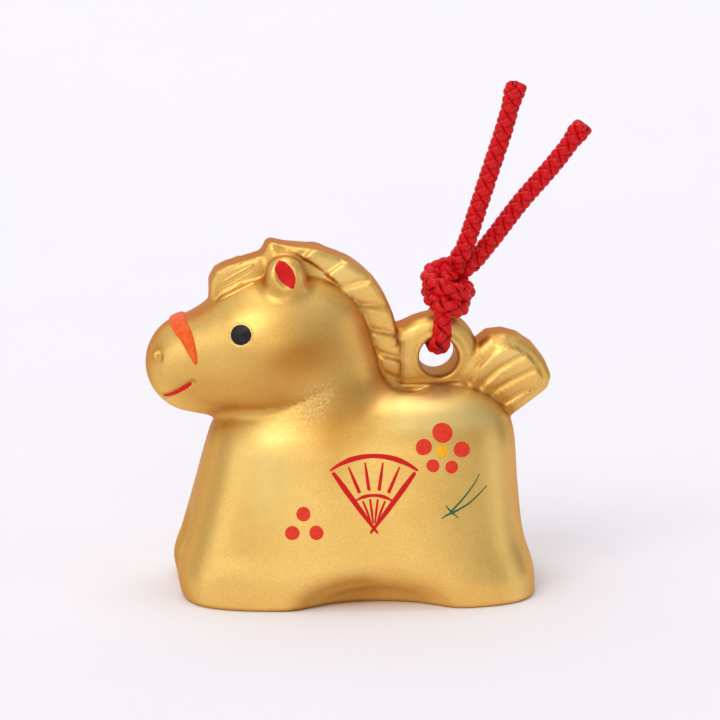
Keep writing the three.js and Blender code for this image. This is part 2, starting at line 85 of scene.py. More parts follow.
def make_camera():
    data = bpy.data.cameras.new("camera")
    data.sensor_width = SENSOR_MM
    data.lens = PIXELS_PER_MM * CAMERA_FAR / PICTURE_PIXELS * SENSOR_MM
    data.clip_end = CAMERA_REACH_M
    camera = bpy.data.objects.new("camera", data)
    bpy.context.scene.collection.objects.link(camera)
    camera.location = metres(CAMERA_AT)
    camera.rotation_euler = (math.pi / 2 - CAMERA_RAISE, 0.0, CAMERA_TURN)
    bpy.context.scene.camera = camera


make_camera()


# Meshes
def new_object(name, points, faces, material):
    mesh = bpy.data.meshes.new(name)
    mesh.from_pydata([tuple(p) for p in points], [], [tuple(int(i) for i in f) for f in faces])
    mesh.validate()
    mesh.shade_smooth()
    mesh.materials.append(material)
    made = bpy.data.objects.new(name, mesh)
    bpy.context.scene.collection.objects.link(made)
    return made


def add_values(made, name, values):
    layer = made.data.attributes.new(name, "FLOAT", "POINT")
    layer.data.foreach_set("value", np.asarray(values, np.float32))


# Materials
class Shader:
    """A principled material whose sockets take numbers, colours or other nodes' outputs."""

    def __init__(self, name, **sockets):
        self.material = bpy.data.materials.new(name)
        self.material.use_nodes = True
        self.tree = self.material.node_tree
        self.shader = self.tree.nodes["Principled BSDF"]
        for key, value in sockets.items():
            self.set(key.replace("_", " "), value)

    def set(self, key, value):
        socket = self.shader.inputs[key]
        if isinstance(value, bpy.types.NodeSocket):
            self.tree.links.new(value, socket)
        elif isinstance(value, tuple):
            socket.default_value = (*value, 1.0)
        else:
            socket.default_value = value

    def node(self, kind, output=0, settings=None, **inputs):
        """Output of a new node. Inputs are given by name, or by number after an underscore."""
        made = self.tree.nodes.new(kind)
        for key, value in (settings or {}).items():
            setattr(made, key, value)
        for key, value in inputs.items():
            socket = made.inputs[int(key[1:]) if key[0] == "_" else key.replace("_", " ")]
            if isinstance(value, bpy.types.NodeSocket):
                self.tree.links.new(value, socket)
            elif isinstance(value, tuple) and socket.type == "RGBA":
                socket.default_value = (*value, 1.0)
            else:
                socket.default_value = value
        return made.outputs[output]

    def noise(self, size_mm, detail=2.0, rough=0.5):
        place = self.node("ShaderNodeTexCoord", "Object")
        return self.node("ShaderNodeTexNoise", Vector=place, Scale=1.0 / (size_mm * MM),
                         Detail=detail, Roughness=rough)

    def attribute(self, name):
        return self.node("ShaderNodeAttribute", "Fac", {"attribute_name": name})

    def ramp(self, value, low, high, to_low=0.0, to_high=1.0):
        return self.node("ShaderNodeMapRange", 0, {"interpolation_type": "SMOOTHSTEP"}, Value=value,
                         From_Min=low, From_Max=high, To_Min=to_low, To_Max=to_high)

    def mix(self, factor, a, b):
        """Colour from a to b."""
        return self.node("ShaderNodeMix", 2, {"data_type": "RGBA"}, _0=factor, _6=a, _7=b)

    def mix_number(self, factor, a, b):
        return self.node("ShaderNodeMix", 0, {"data_type": "FLOAT"}, _0=factor, _2=a, _3=b)

    def math(self, operation, a, b=0.0):
        return self.node("ShaderNodeMath", 0, {"operation": operation}, _0=a, _1=b)

    def bump(self, height, depth_mm, strength, under=None):
        inputs = {"Height": height, "Distance": depth_mm * MM, "Strength": strength}
        if under is not None:
            inputs["Normal"] = under
        return self.node("ShaderNodeBump", **inputs)


def srgb(colour):
    """Linear colour of one that is written from 0 to 255."""
    def linear(v):
        v = v / 255.0
        return v / 12.92 if v <= 0.04045 else ((v + 0.055) / 1.055) ** 2.4
    return tuple(linear(v) for v in colour)


GOLD, LIGHT_GOLD, CLOUDED_GOLD = srgb((238, 190, 100)), srgb((250, 210, 124)), srgb((230, 178, 88))
# Gold for painted highlight, painted shade, and painted shade on rims and on what faces the rear
HIGHLIGHT_GOLD, SHADE_GOLD, RIM_SHADE_GOLD = srgb((255, 225, 144)), srgb((184, 120, 40)), srgb((208, 126, 58))
# Gold of the painted glints on the sandy patch
GLINT_GOLD = srgb((255, 236, 176))
GOLD_SHEEN = (0.74, 0.54, 0.34)
WALL_CLAY, LIGHT_WALL_CLAY = srgb((196, 156, 124)), srgb((214, 180, 148))
BALL_CLAY, LIGHT_BALL_CLAY = srgb((186, 144, 110)), srgb((204, 166, 132))
THREAD_RED, LIGHT_THREAD_RED = srgb((200, 4, 12)), srgb((234, 20, 26))
# Dark red between yarns; the second colour is painted shade deep in the braid
YARN_RED, CREASE_SHADE_RED = srgb((150, 2, 8)), srgb((84, 0, 6))
PAPER, DEEP_PAPER = srgb((247, 245, 250)), srgb((246, 244, 249))
YARNS = 8
# Each paint's colour, the colour of its streaks and its roughness
PAINTS = {
    "orange_red_paint": ((232, 62, 38), (222, 50, 32), 0.5),
    "band_paint": ((244, 104, 30), (234, 82, 22), 0.5),
    "deep_red_paint": ((218, 20, 20), (206, 14, 16), 0.5),
    "yellow_paint": ((250, 186, 34), (244, 172, 26), 0.45),
    "green_paint": ((52, 112, 74), (40, 96, 66), 0.5),
    "black_paint": ((36, 33, 38), (24, 22, 27), 0.35),
}


def gold_paint():
    """Gold over fired clay. The mesh says where it is bare, where shade and highlights are painted on, and
    where it is sandy with painted glints.
    """
    s = Shader("gold_paint", Specular_Tint=GOLD_SHEEN)
    grain, cloud = s.noise(0.28, 3.0, 0.7), s.noise(9.0)
    bare, painted_rim_shade, painted_shade, sand_and_glint, painted_highlight = (s.attribute(name) for name in ("bare", "painted_rim_shade", "painted_shade", "sand_and_glint", "painted_highlight"))
    gold = s.mix(s.ramp(grain, 0.3, 0.7), GOLD, LIGHT_GOLD)
    gold = s.mix(s.ramp(cloud, 0.35, 0.7, 0.0, 0.3), gold, CLOUDED_GOLD)
    # Painted highlight on the open back, chest, rump and the tops of mane and tail
    gold = s.mix(s.math("MULTIPLY", painted_highlight, 0.9), gold, HIGHLIGHT_GOLD)
    # Painted shade, darker in creases and on the cheek, jaw, front and flank hollow
    gold = s.mix(s.math("MULTIPLY", painted_shade, 0.85), gold, SHADE_GOLD)
    # Painted shade on the rims above the back and on what faces the rear
    rim_shade_part = s.math("MULTIPLY", painted_rim_shade, s.ramp(cloud, 0.2, 0.6, 0.7, 1.0))
    gold = s.mix(rim_shade_part, gold, RIM_SHADE_GOLD)
    # Painted glints on the sandy patch
    painted_glint = s.math("MULTIPLY", sand_and_glint, s.ramp(s.noise(0.36, 2.0, 0.6), 0.5, 0.7, 0.0, 0.55))
    gold = s.mix(painted_glint, gold, GLINT_GOLD)
    clay_wall = s.mix(s.ramp(s.noise(0.8, 4.0, 0.6), 0.35, 0.65), WALL_CLAY, LIGHT_WALL_CLAY)
    s.set("Base Color", s.mix(bare, gold, clay_wall))
    s.set("Metallic", s.ramp(bare, 0.0, 1.0, 0.8, 0.0))
    polish = s.ramp(s.noise(1.3, 3.0, 0.6), 0.3, 0.7, 0.35, 0.42)
    s.set("Roughness", s.mix_number(bare, polish, 0.9))
    rough_grain = s.math("MULTIPLY", s.noise(0.5, 3.0, 0.65), s.math("MULTIPLY", sand_and_glint, 12.0))
    fine = s.bump(s.math("ADD", grain, rough_grain), 0.04, 0.6)
    s.set("Normal", s.bump(s.noise(2.4), 0.05, 0.3, fine))
    return s.material


def flat_paint(name, colour, streaks, rough):
    s = Shader(name, Roughness=rough, Specular_IOR_Level=0.2)
    streaked = s.ramp(s.noise(0.9, 4.0, 0.6), 0.35, 0.7)
    s.set("Base Color", s.mix(streaked, srgb(colour), srgb(streaks)))
    s.set("Normal", s.bump(s.noise(0.35, 3.0, 0.6), 0.02, 0.4))
    return s.material


def bare_clay():
    s = Shader("bare_clay", Roughness=0.92)
    s.set("Base Color", s.mix(s.ramp(s.noise(0.8, 4.0, 0.6), 0.35, 0.65), BALL_CLAY, LIGHT_BALL_CLAY))
    s.set("Normal", s.bump(s.noise(0.5, 4.0, 0.6), 0.06, 0.6))
    return s.material


def braid_thread():
    """Red thread, each strand of several yarns. The mesh says how far round a strand is, and how deep it
    lies, for shade painted into the braid's creases.
    """
    s = Shader("braid_thread", Roughness=0.36, Specular_IOR_Level=0.22)
    around, crease_shade = s.attribute("around"), s.attribute("crease_shade")
    yarns = s.math("SINE", s.math("MULTIPLY", around, 2 * math.pi * YARNS))
    fuzz = s.noise(0.22, 3.0, 0.65)
    red = s.mix(s.ramp(fuzz, 0.3, 0.7), THREAD_RED, LIGHT_THREAD_RED)
    red = s.mix(s.ramp(yarns, -1.0, -0.2, 0.3, 0.0), red, YARN_RED)
    # Painted shade deep in the braid
    s.set("Base Color", s.mix(crease_shade, red, CREASE_SHADE_RED))
    s.set("Normal", s.bump(fuzz, 0.05, 0.5, s.bump(yarns, 0.03, 0.5)))
    return s.material


# Cord
EYELET = np.array([15.6, 0.0, 40.8])
# Both routes start at the top of the eyelet's hole and are measured from its middle
NEAR_ROUTE = [
    (0, 0, 1.85), (0, -3.4, 1.85), (0, -4.85, 2.1), (0.1, -5.8, 2.8), (0.3, -6.15, 4.1), (0.4, -6.2, 5.8),
    (0.8, -5.1, 8.7), (1.2, -3.5, 10.6), (1.6, -1.9, 12.3), (2.1, -0.2, 13.7), (1.8, 1.0, 14.8),
    (0.6, 1.1, 14.9), (-0.7, 0.2, 14.2), (-1.4, -1.8, 13.4), (-0.7, -4.0, 12.8), (1.4, -5.2, 12.2),
    (3.5, -4.7, 11.5), (4.8, -2.5, 11.1), (4.9, 0.2, 11.4), (3.9, 2.2, 12.4), (2.7, 2.2, 13.9),
    (2.7, 0.7, 15.2), (3.8, -0.6, 16.9), (4.8, -1.2, 18.9), (6.8, -1.5, 25.0), (9.6, -1.7, 33.8),
    (11.3, -1.8, 39.1), (13.7, -1.8, 47.8),
]
FAR_ROUTE = [
    (0, 0, 1.85), (0, 3.4, 1.85), (0, 4.85, 2.1), (0.2, 5.8, 2.8), (0.5, 6.15, 4.1), (0.9, 6.2, 6.0),
    (1.8, 4.5, 8.9), (2.1, 2.6, 10.4), (1.8, 1.3, 11.9), (0.7, 1.4, 12.6), (-0.6, 0.6, 12.1),
    (-1.1, -1.4, 11.2), (-0.9, -3.9, 10.3), (0.2, -5.8, 9.7), (1.8, -6.0, 9.2), (3.2, -4.8, 8.8),
    (4.0, -2.3, 8.9), (4.2, 0.5, 9.6), (3.5, 2.8, 10.7), (2.6, 3.3, 12.1), (2.5, 2.2, 13.6),
    (3.7, 0.9, 14.3), (5.6, 0.7, 15.0), (9.2, 1.2, 18.9), (14.8, 1.5, 26.1), (20.8, 1.7, 33.0),
    (25.9, 1.8, 39.7),
]
ROUTE_STEP = 0.22
EACH_WAY = 3
LAY = 7.6
STRAND_HALF_WIDE, STRAND_HALF_THICK = 0.82, 0.5
STRAND_RADIUS, STRAND_WAVE = 0.86, 0.42
STRAND_SIDES = 12
CORE_RADIUS, CORE_PRESSED = 0.7, 0.15
TIP_LONG, TIP_LEAST = 0.9, 0.03
# Swellings near the free end: share of the radius, distance from the end and length
TIP_SWELLS = [(0.26, 1.6, 1.5), (-0.05, 5.0, 1.0)]
# The braid is pressed flat in the eyelet, fully up to the second length and not past the first
PRESSED = (9.5, 6.5)
PRESSED_WIDER, PRESSED_THINNER = 0.16, 0.24
# Distance from the braid's axis at which the thread has no painted shade, and at which its painted shade is
# full
CREASE = (1.36, 0.96)
# A strand lies toward the camera at this many steps from the free end
FACING_STEPS = 70


def curve_through(points, steps=24):
    """Centripetal curve through points."""
    p = np.asarray(points, float)
    p = np.vstack([2 * p[0] - p[1], p, 2 * p[-1] - p[-2]])
    made = []
    for a, b, c, d in zip(p, p[1:], p[2:], p[3:]):
        t0 = 0.0
        t1 = t0 + np.linalg.norm(b - a) ** 0.5
        t2 = t1 + np.linalg.norm(c - b) ** 0.5
        t3 = t2 + np.linalg.norm(d - c) ** 0.5
        t = np.linspace(t1, t2, steps, endpoint=False)[:, None]
        ab = (t1 - t) / (t1 - t0) * a + (t - t0) / (t1 - t0) * b
        bc = (t2 - t) / (t2 - t1) * b + (t - t1) / (t2 - t1) * c
        cd = (t3 - t) / (t3 - t2) * c + (t - t2) / (t3 - t2) * d
        abc = (t2 - t) / (t2 - t0) * ab + (t - t0) / (t2 - t0) * bc
        bcd = (t3 - t) / (t3 - t1) * bc + (t - t1) / (t3 - t1) * cd
        made.append((t2 - t) / (t2 - t1) * abc + (t - t1) / (t2 - t1) * bcd)
    return np.vstack([*made, p[-2:-1]])


def even_steps(line, step):
    """The line in equal steps of about this length, and how far along it each point lies."""
    run = np.concatenate([[0], np.cumsum(np.linalg.norm(np.diff(line, axis=0), axis=1))])
    at = np.linspace(0, run[-1], max(int(round(run[-1] / step)), 2) + 1)
    return np.stack([np.interp(at, run, line[:, q]) for q in range(3)], 1), at


def ways_across(line):
    """Two directions across the line that turn as little as possible along it."""
    along = unit(np.gradient(line, axis=0))
    side = np.empty_like(line)
    first = np.cross(along[0], (0.0, 0.0, 1.0))
    side[0] = first / np.linalg.norm(first)
    for n in range(1, len(line)):
        s = side[n - 1] - along[n] * (side[n - 1] @ along[n])
        side[n] = s / np.linalg.norm(s)
    return side, np.cross(along, side)


STRAND_TURN = np.linspace(0, 2 * math.pi, STRAND_SIDES, endpoint=False) - math.pi / 2


def strand_rings(centre, across, outward, wide, thick):
    """Rings of an oval tube, wide across and thick outward."""
    ring = np.stack([np.cos(STRAND_TURN), np.sin(STRAND_TURN)], 1)
    return centre[:, None] + np.einsum("sk,nk,nkc->nsc", ring, np.stack([wide, thick], 1),
                                       np.stack([across, outward], 1))


def strand_faces(count, first):
    """Faces of a tube of count rings whose points start at number first, both ends closed."""
    faces = []
    for n in range(count - 1):
        for q in range(STRAND_SIDES):
            r = (q + 1) % STRAND_SIDES
            a, b = first + n * STRAND_SIDES, first + (n + 1) * STRAND_SIDES
            faces.append((a + q, a + r, b + r, b + q))
    faces.append(tuple(first + q for q in reversed(range(STRAND_SIDES))))
    faces.append(tuple(first + (count - 1) * STRAND_SIDES + q for q in range(STRAND_SIDES)))
    return faces


def braid_tubes(line, at, tip, pressed):
    """Rings of every strand, three each way round and over and under in turn, and those of the core."""
    side, other = ways_across(line)
    left = at[-1] - at
    swell = 1.0 + sum(rise * hump(left, middle, width) for rise, middle, width in TIP_SWELLS)
    far = len(line) - FACING_STEPS
    facing = math.atan2(-other[far] @ FORWARD, -side[far] @ FORWARD)
    tubes = []
    for way in (1, -1):
        for lane in range(EACH_WAY):
            turned = 2 * math.pi * (way * at / LAY + lane / EACH_WAY) + facing
            wave = way * STRAND_WAVE * np.cos(2 * math.pi * EACH_WAY * at / LAY)
            radius = (STRAND_RADIUS + wave) * swell * tip
            to_side, to_other = np.cos(turned)[:, None] * side, np.sin(turned)[:, None] * other
            outward = to_side + to_other
            centre = line + radius[:, None] * (to_side * (1 + PRESSED_WIDER * pressed[:, None])
                                               + to_other * (1 - PRESSED_THINNER * pressed[:, None]))
            across = unit(np.cross(outward, unit(np.gradient(centre, axis=0))))
            tubes.append(strand_rings(centre, across, outward, STRAND_HALF_WIDE * tip,
                                      STRAND_HALF_THICK * tip))
    core_thick = (CORE_RADIUS - CORE_PRESSED * pressed) * tip
    return tubes, strand_rings(line, side, other, CORE_RADIUS * tip, core_thick)


def braid(name, route, material):
    """Round braid of six strands on a core."""
    line, at = even_steps(curve_through(EYELET + np.array(route)), ROUTE_STEP)
    length = at[-1]
    tip = np.sqrt(np.clip(1 - (1 - share(length - at, 0, TIP_LONG)) ** 2, TIP_LEAST, 1))
    strands, core = braid_tubes(line, at, tip, share(at, *PRESSED))
    rings = np.stack([*strands, core])
    each = len(line) * STRAND_SIDES
    faces = [face for n in range(len(rings)) for face in strand_faces(len(line), n * each)]
    # Painted shade, darker nearer the braid's axis; the core is shaded all over
    crease_shade = share(np.linalg.norm(rings - line[:, None], axis=3) / tip[:, None], *CREASE)
    crease_shade[-1] = 1
    made = new_object(name, metres(rings.reshape(-1, 3)), faces, material)
    add_values(made, "around", np.tile(STRAND_TURN / (2 * math.pi) + 0.25, len(rings) * len(line)))
    add_values(made, "crease_shade", crease_shade.ravel())
    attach(made, "cord")
    return made


thread = braid_thread()
near_cord = braid("cord_near_half", NEAR_ROUTE, thread)
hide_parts("cord_loop", "cord_knot", "cord_end_left")
far_cord = braid("cord_far_half", FAR_ROUTE, thread)
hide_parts("cord_end_right")


# Signed distances. A blend is the length over which two forms run into each other.
def soft_min(a, b, blend):
    h = np.clip(0.5 + 0.5 * (b - a) / blend, 0, 1)
    return b + (a - b) * h - blend * h * (1 - h)


def soft_max(a, b, blend):
    return -soft_min(-a, -b, blend)


def ellipsoid(x, y, z, middle, radii):
    away = [(v - m) / r for v, m, r in zip((x, y, z), middle, radii)]
    near = np.sqrt(sum(v ** 2 for v in away))
    steep = np.sqrt(sum((v / r) ** 2 for v, r in zip(away, radii)))
    return near * (near - 1) / np.maximum(steep, 1e-6)


def dented(d, x, y, z, middle, radii, blend):
    return soft_max(d, -ellipsoid(x, y, z, middle, radii), blend)


def swollen(d, x, y, z, middle, radii, blend):
    return soft_min(d, ellipsoid(x, y, z, middle, radii), blend)


def taper(x, y, z, a, b):
    """Balls a and b, each (x, z, radius) on the middle plane, and the cone that joins them."""
    way = np.array([b[0] - a[0], b[1] - a[1]], float)
    length = np.hypot(*way)
    way /= length
    s = (x - a[0]) * way[0] + (z - a[1]) * way[1]
    off = np.hypot((x - a[0]) * way[1] - (z - a[1]) * way[0], y)
    sine = (a[2] - b[2]) / length
    cosine = math.sqrt(1 - sine * sine)
    foot = s * cosine - off * sine
    cone = off * cosine + s * sine - a[2]
    cone = np.where(foot > cosine * length, np.hypot(s - length, off) - b[2], cone)
    return np.where(foot < 0, np.hypot(s, off) - a[2], cone)


def oblong(u, v, middle, half):
    return np.maximum(np.abs(u - middle[0]) - half[0], np.abs(v - middle[1]) - half[1])


def plate(flat, y, half, edge):
    """Slab of half thickness half round a flat outline's distance, its edges rounded."""
    u, v = flat + edge, np.abs(y) - half + edge
    return np.minimum(np.maximum(u, v), 0) + np.hypot(np.maximum(u, 0), np.maximum(v, 0)) - edge


def polygon(x, z, corners, edge):
    """Distance to a polygon in X and Z that is grown by edge."""
    p = np.array(corners, float)
    near, sign = np.full(x.shape, 1e9), np.ones(x.shape)
    for a, b in zip(p, np.roll(p, 1, axis=0)):
        e = b - a
        wx, wz = x - a[0], z - a[1]
        t = np.clip((wx * e[0] + wz * e[1]) / (e @ e), 0, 1)
        near = np.minimum(near, (wx - e[0] * t) ** 2 + (wz - e[1] * t) ** 2)
        above, below, left = z >= a[1], z < b[1], e[0] * wz > e[1] * wx
        sign = np.where((above & below & left) | (~above & ~below & ~left), -sign, sign)
    return sign * np.sqrt(near) - edge


def chain(x, y, z, line, radius):
    """Distance to a round line through points, the same on both sides of the middle plane."""
    p, side = np.array(line), np.abs(y)
    near = np.full(x.shape, 1e9)
    for a, b in zip(p, p[1:]):
        e = b - a
        w = (x - a[0], side - a[1], z - a[2])
        t = np.clip((w[0] * e[0] + w[1] * e[1] + w[2] * e[2]) / (e @ e), 0, 1)
        near = np.minimum(near, sum((w[q] - e[q] * t) ** 2 for q in range(3)))
    return np.sqrt(near) - radius


# Trunk: its length and width, and how far chest, rump and flanks lean in at each station
TOES_X, TRUNK_LONG, TRUNK_WIDE, REAR_SPREAD = -30.1, 62.4, 41.2, 0.6
BACK_HIGH, BACK_BLEND = 36.3, 11.0
CHEST_LEAN, RUMP_LEAN, FLANK_LEAN = 12.1, 4.7, 5.6
STATIONS = np.array([0, 0.11, 0.27, 0.49, 0.70, 0.92, 1.08])
CHEST = np.array([0.06, 0, 0.124, 0.298, 0.463, 0.669, 1])
RUMP = np.array([0, 0.04, 0.38, 0.57, 0.66, 0.79, 1])
FLANK = np.array([0.04, 0, 0.14, 0.36, 0.61, 0.86, 1])
# Exponent of the trunk's outline seen from above, at each station
SQUARE = np.array([4.2, 4.0, 3.5, 3.1, 2.9, 2.7, 2.6])
# Dents and swellings: middle, radii and blend
BELLY_ARCH = ((3.2, 22.0, -0.8), (12.5, 7.8, 5.4), 3.8)
FORE_LEG_GAP = ((-32.5, 0.0, 0.0), (6.0, 4.5, 16.0), 3.0)
HIND_LEG_GAP = ((34.7, 0.0, 0.0), (6.0, 4.5, 16.0), 3.0)
MANE_DIP = ((10.6, 6.0, 39.4), (3.8, 3.6, 4.0), 2.0)
EYE_BED = ((-19.2, 14.6, 47.3), (3.1, 3.1, 3.1), 0.3)
NOSTRIL = ((-33.3, 4.6, 42.3), (0.65, 0.65, 0.85), 0.35)
# Neck and head: the ball at each end
NECK = ((-7.4, 43.8, 12.2), (-5.2, 33.0, 13.2))
NECK_NARROWED = 1.06
HEAD = ((-26.3, 40.0, 8.7), (-14.9, 42.2, 13.1))
NECK_BLEND, HEAD_BLEND, THROAT_BLEND = 3.5, 2.2, 5.0
BROW_X, BROW_Z, BROW_RADIUS, BROW_BLEND = -29.3, 55.2, 7.0, 1.6


def between(z, values):
    """Smooth curve through the stations' values."""
    slope = np.gradient(values, STATIONS)
    t = np.clip(z / BACK_HIGH, STATIONS[0], STATIONS[-1])
    i = np.clip(np.searchsorted(STATIONS, t) - 1, 0, len(STATIONS) - 2)
    span = STATIONS[i + 1] - STATIONS[i]
    s = (t - STATIONS[i]) / span
    return ((2 * s ** 3 - 3 * s ** 2 + 1) * values[i] + (s ** 3 - 2 * s ** 2 + s) * span * slope[i]
            + (3 * s ** 2 - 2 * s ** 3) * values[i + 1] + (s ** 3 - s ** 2) * span * slope[i + 1])


def trunk(x, y, z):
    front = TOES_X + CHEST_LEAN * between(z, CHEST)
    rear = TOES_X + TRUNK_LONG - RUMP_LEAN * between(z, RUMP)
    half = (rear - front) / 2
    u = (x - (rear + front) / 2) / half
    half_wide = TRUNK_WIDE / 2 - FLANK_LEAN * between(z, FLANK) + REAR_SPREAD * u
    v = y / half_wide
    n = between(z, SQUARE)
    r = np.maximum((np.abs(u) ** n + np.abs(v) ** n) ** (1 / n), 1e-3)
    du, dv = (np.abs(u) / r) ** (n - 1) / half, (np.abs(v) / r) ** (n - 1) / half_wide
    d = soft_max((r - 1) / np.maximum(np.hypot(du, dv), 1e-3), z - BACK_HIGH, BACK_BLEND)
    d = dented(d, x, np.abs(y), z, *BELLY_ARCH)
    d = dented(d, x, y, z, *FORE_LEG_GAP)
    return dented(d, x, y, z, *HIND_LEG_GAP)


def torso(x, y, z):
    neck = taper(x, y * NECK_NARROWED, z, *NECK)
    head = taper(x, y, z, *HEAD)
    whole = soft_min(soft_min(trunk(x, y, z), neck, NECK_BLEND), head, HEAD_BLEND)
    whole = np.minimum(whole, soft_min(head, neck, THROAT_BLEND))
    return soft_max(whole, BROW_RADIUS - np.hypot(x - BROW_X, z - BROW_Z), BROW_BLEND)


# Folds of mane and tail: each line's points from root to rim, and how far its slope runs on below it
MANE_FOLDS = [
    ([(-7.96, 59.09), (-6.23, 60.58)], 4.4), ([(-3.92, 56.15), (-0.31, 58.51)], 4.8),
    ([(-0.66, 53.58), (3.84, 54.85)], 4.8), ([(1.72, 50.4), (6.69, 49.76)], 4.5),
    ([(3.68, 46.04), (8.47, 44.96)], 4.2), ([(5.1, 41.85), (8.82, 40.7)], 3.6),
    ([(6.16, 38.04), (8.65, 37.07)], 3.0),
]
TAIL_FOLDS = [
    ([(20.1, 36.9), (27.4, 44.6)], 0.9),
    ([(20.6, 36.3), (22.8, 39.2), (25.2, 41.6), (28.3, 43.9)], 5.2),
    ([(22.5, 35.2), (23.6, 36.5), (26.0, 38.6), (28.9, 40.3), (31.1, 41.3)], 4.4),
    ([(24.3, 34.2), (27.1, 35.9), (30.1, 37.4), (33.0, 38.8)], 3.6),
    ([(26.5, 32.2), (28.3, 33.3), (30.3, 34.5), (33.6, 36.0)], 3.0),
]
FOLD_STEP = 0.7
# Groove in front of each fold: its share of the fold's height, its place and its width
FOLD_GROOVE, GROOVE_AT, GROOVE_WIDE = 0.35, -0.3, 0.42
# Lines of folds run on past their first and last points
FOLD_OVERRUN = 9.0
# Relief starts this far from the middle plane
RELIEF_FROM = 2.5


def folds(x, z, lines, rise):
    """Height of folds that step up at each line and slope down behind it."""
    height = np.zeros(x.shape)
    for line, run in lines:
        p = np.array(line)
        near, side = np.full(x.shape, 1e9), np.zeros(x.shape)
        for n, (a, b) in enumerate(zip(p, p[1:])):
            e = b - a
            wx, wz = x - a[0], z - a[1]
            t = (wx * e[0] + wz * e[1]) / (e @ e)
            t = np.clip(t, -FOLD_OVERRUN if n == 0 else 0.0, FOLD_OVERRUN if n == len(p) - 2 else 1.0)
            away = np.hypot(wx - e[0] * t, wz - e[1] * t)
            s = (e[1] * wx - e[0] * wz) / np.hypot(*e)
            side = np.where(away < near, s, side)
            near = np.minimum(away, near)
        up = share(side, 0, FOLD_STEP)
        height += rise * up * up * (3 - 2 * up) * np.clip(1 - side / run, 0, 1)
        height -= FOLD_GROOVE * rise * hump(side, GROOVE_AT, GROOVE_WIDE)
    return height


MANE_PIVOT, MANE_RADIUS = (-8.0, 43.5), 16.5
# Inner edge of the raised mane: degrees round the pivot and distance from it
MANE_INNER = np.array([(-40, 18.5), (-28, 16.2), (-16, 14.0), (1, 12.2), (18, 11.5), (34, 11.5), (53, 11.7),
                       (72, 13.0), (89, 15.1), (96, 16.4), (110, 19.0)])
MANE_INNER_SOFT = 0.25
# Half thickness at heights, and roundness of the edge at places along X
MANE_HALF = ([34, 40, 46, 60], [5.7, 5.2, 4.7, 3.9])
MANE_EDGE = ([-11.0, -6.0], [2.0, 1.2])
MANE_FOOT = ((0.9, 36.6), (8.1, 7.0))
MANE_REACH, MANE_LOW = 20, 34
MANE_RISE, MANE_BED = 0.62, 0.45
CROWN = [(-13.6, 52), (-14.3, 57.4), (-13.1, 60.1), (-9.4, 59.2), (-5.5, 58.5), (-4.0, 52)]
CROWN_GROWN, CROWN_BLEND = 1.2, 1.5


def mane(x, y, z):
    dx, dz = x - MANE_PIVOT[0], z - MANE_PIVOT[1]
    reach = np.hypot(dx, dz)
    half = np.interp(z, *MANE_HALF)
    shown = (np.abs(y) > RELIEF_FROM) & (reach < MANE_REACH) & (z > MANE_LOW)
    if shown.any():
        start = np.interp(np.degrees(np.arctan2(dz[shown], dx[shown])), *MANE_INNER.T)
        inside = share(reach[shown], start + MANE_INNER_SOFT, start - MANE_INNER_SOFT)
        relief = folds(x[shown], z[shown], MANE_FOLDS, MANE_RISE)
        half[shown] += relief * (1 - inside) - MANE_BED * inside
    flat = np.minimum(reach - MANE_RADIUS, oblong(x, z, *MANE_FOOT))
    flat = soft_min(flat, polygon(x, z, CROWN, CROWN_GROWN), CROWN_BLEND)
    return plate(flat, y, half, np.interp(x, *MANE_EDGE))


LUG_RADIUS, LUG_EDGE = 7.2, 2.3
LUG_FOOT, LUG_FOOT_BLEND = ((15.7, 33), (8, 7)), 3.0
LUG_SHOULDER = [(6, 36), (14, 36), (14.4, 46.5), (12.0, 46.2), (9.6, 45.2), (6, 44.4)]
SHOULDER_GROWN, SHOULDER_BLEND = 1.0, 0.8
# Half thickness at heights
LUG_HALF = ([34, 41, 49], [4.9, 4.35, 4.0])


def lug(x, y, z):
    flat = np.hypot(x - EYELET[0], z - EYELET[2]) - LUG_RADIUS
    flat = soft_min(flat, oblong(x, z, *LUG_FOOT), LUG_FOOT_BLEND)
    flat = soft_min(flat, polygon(x, z, LUG_SHOULDER, SHOULDER_GROWN), SHOULDER_BLEND)
    return plate(flat, y, np.interp(z, *LUG_HALF), LUG_EDGE)


TAIL = [(20, 28), (27.9, 31.2), (31.4, 33.8), (33.6, 35.5), (34.0, 36.8), (33.2, 38.8),
        (31.4, 41.1), (29.1, 42.7), (27.0, 43.3), (25.0, 43.1), (23.0, 41.5), (18, 36)]
TAIL_GROWN, TAIL_HALF, TAIL_EDGE = 1.4, 4.55, 2.4
TAIL_LIFT, TAIL_RISE = 0.3, 0.6
# Box in X and Z that holds the tail's relief, and where the relief comes to full height
TAIL_FROM, TAIL_LOW, TAIL_HIGH = 17, 26, 47
TAIL_ROOT, TAIL_RIM = (19.5, 21.5), (-1.5, -1.9)


def tail(x, y, z):
    flat = polygon(x, z, TAIL, TAIL_GROWN)
    half = np.full(x.shape, TAIL_HALF)
    shown = (np.abs(y) > RELIEF_FROM) & (x > TAIL_FROM) & (z > TAIL_LOW) & (z < TAIL_HIGH)
    if shown.any():
        full = share(x[shown], *TAIL_ROOT) * share(flat[shown], *TAIL_RIM)
        half[shown] += (TAIL_LIFT + folds(x[shown], z[shown], TAIL_FOLDS, TAIL_RISE)) * full
    return plate(flat, y, half, TAIL_EDGE)


FORELOCK = [(-22.7, 51.0), (-22.7, 54.2), (-22.0, 55.5), (-20.6, 56.2), (-18.1, 56.9), (-15.6, 57.6),
            (-14.6, 54.0)]
FORELOCK_GROWN, FORELOCK_HALF, FORELOCK_EDGE = 1.2, 3.5, 1.2
# Shallow bed inside the rim: its depth, and where it comes to full depth from rim and ear
BED_DEEP, BED_RIM, BED_EAR = 0.12, (-0.8, -1.15), (-16.0, -16.35)


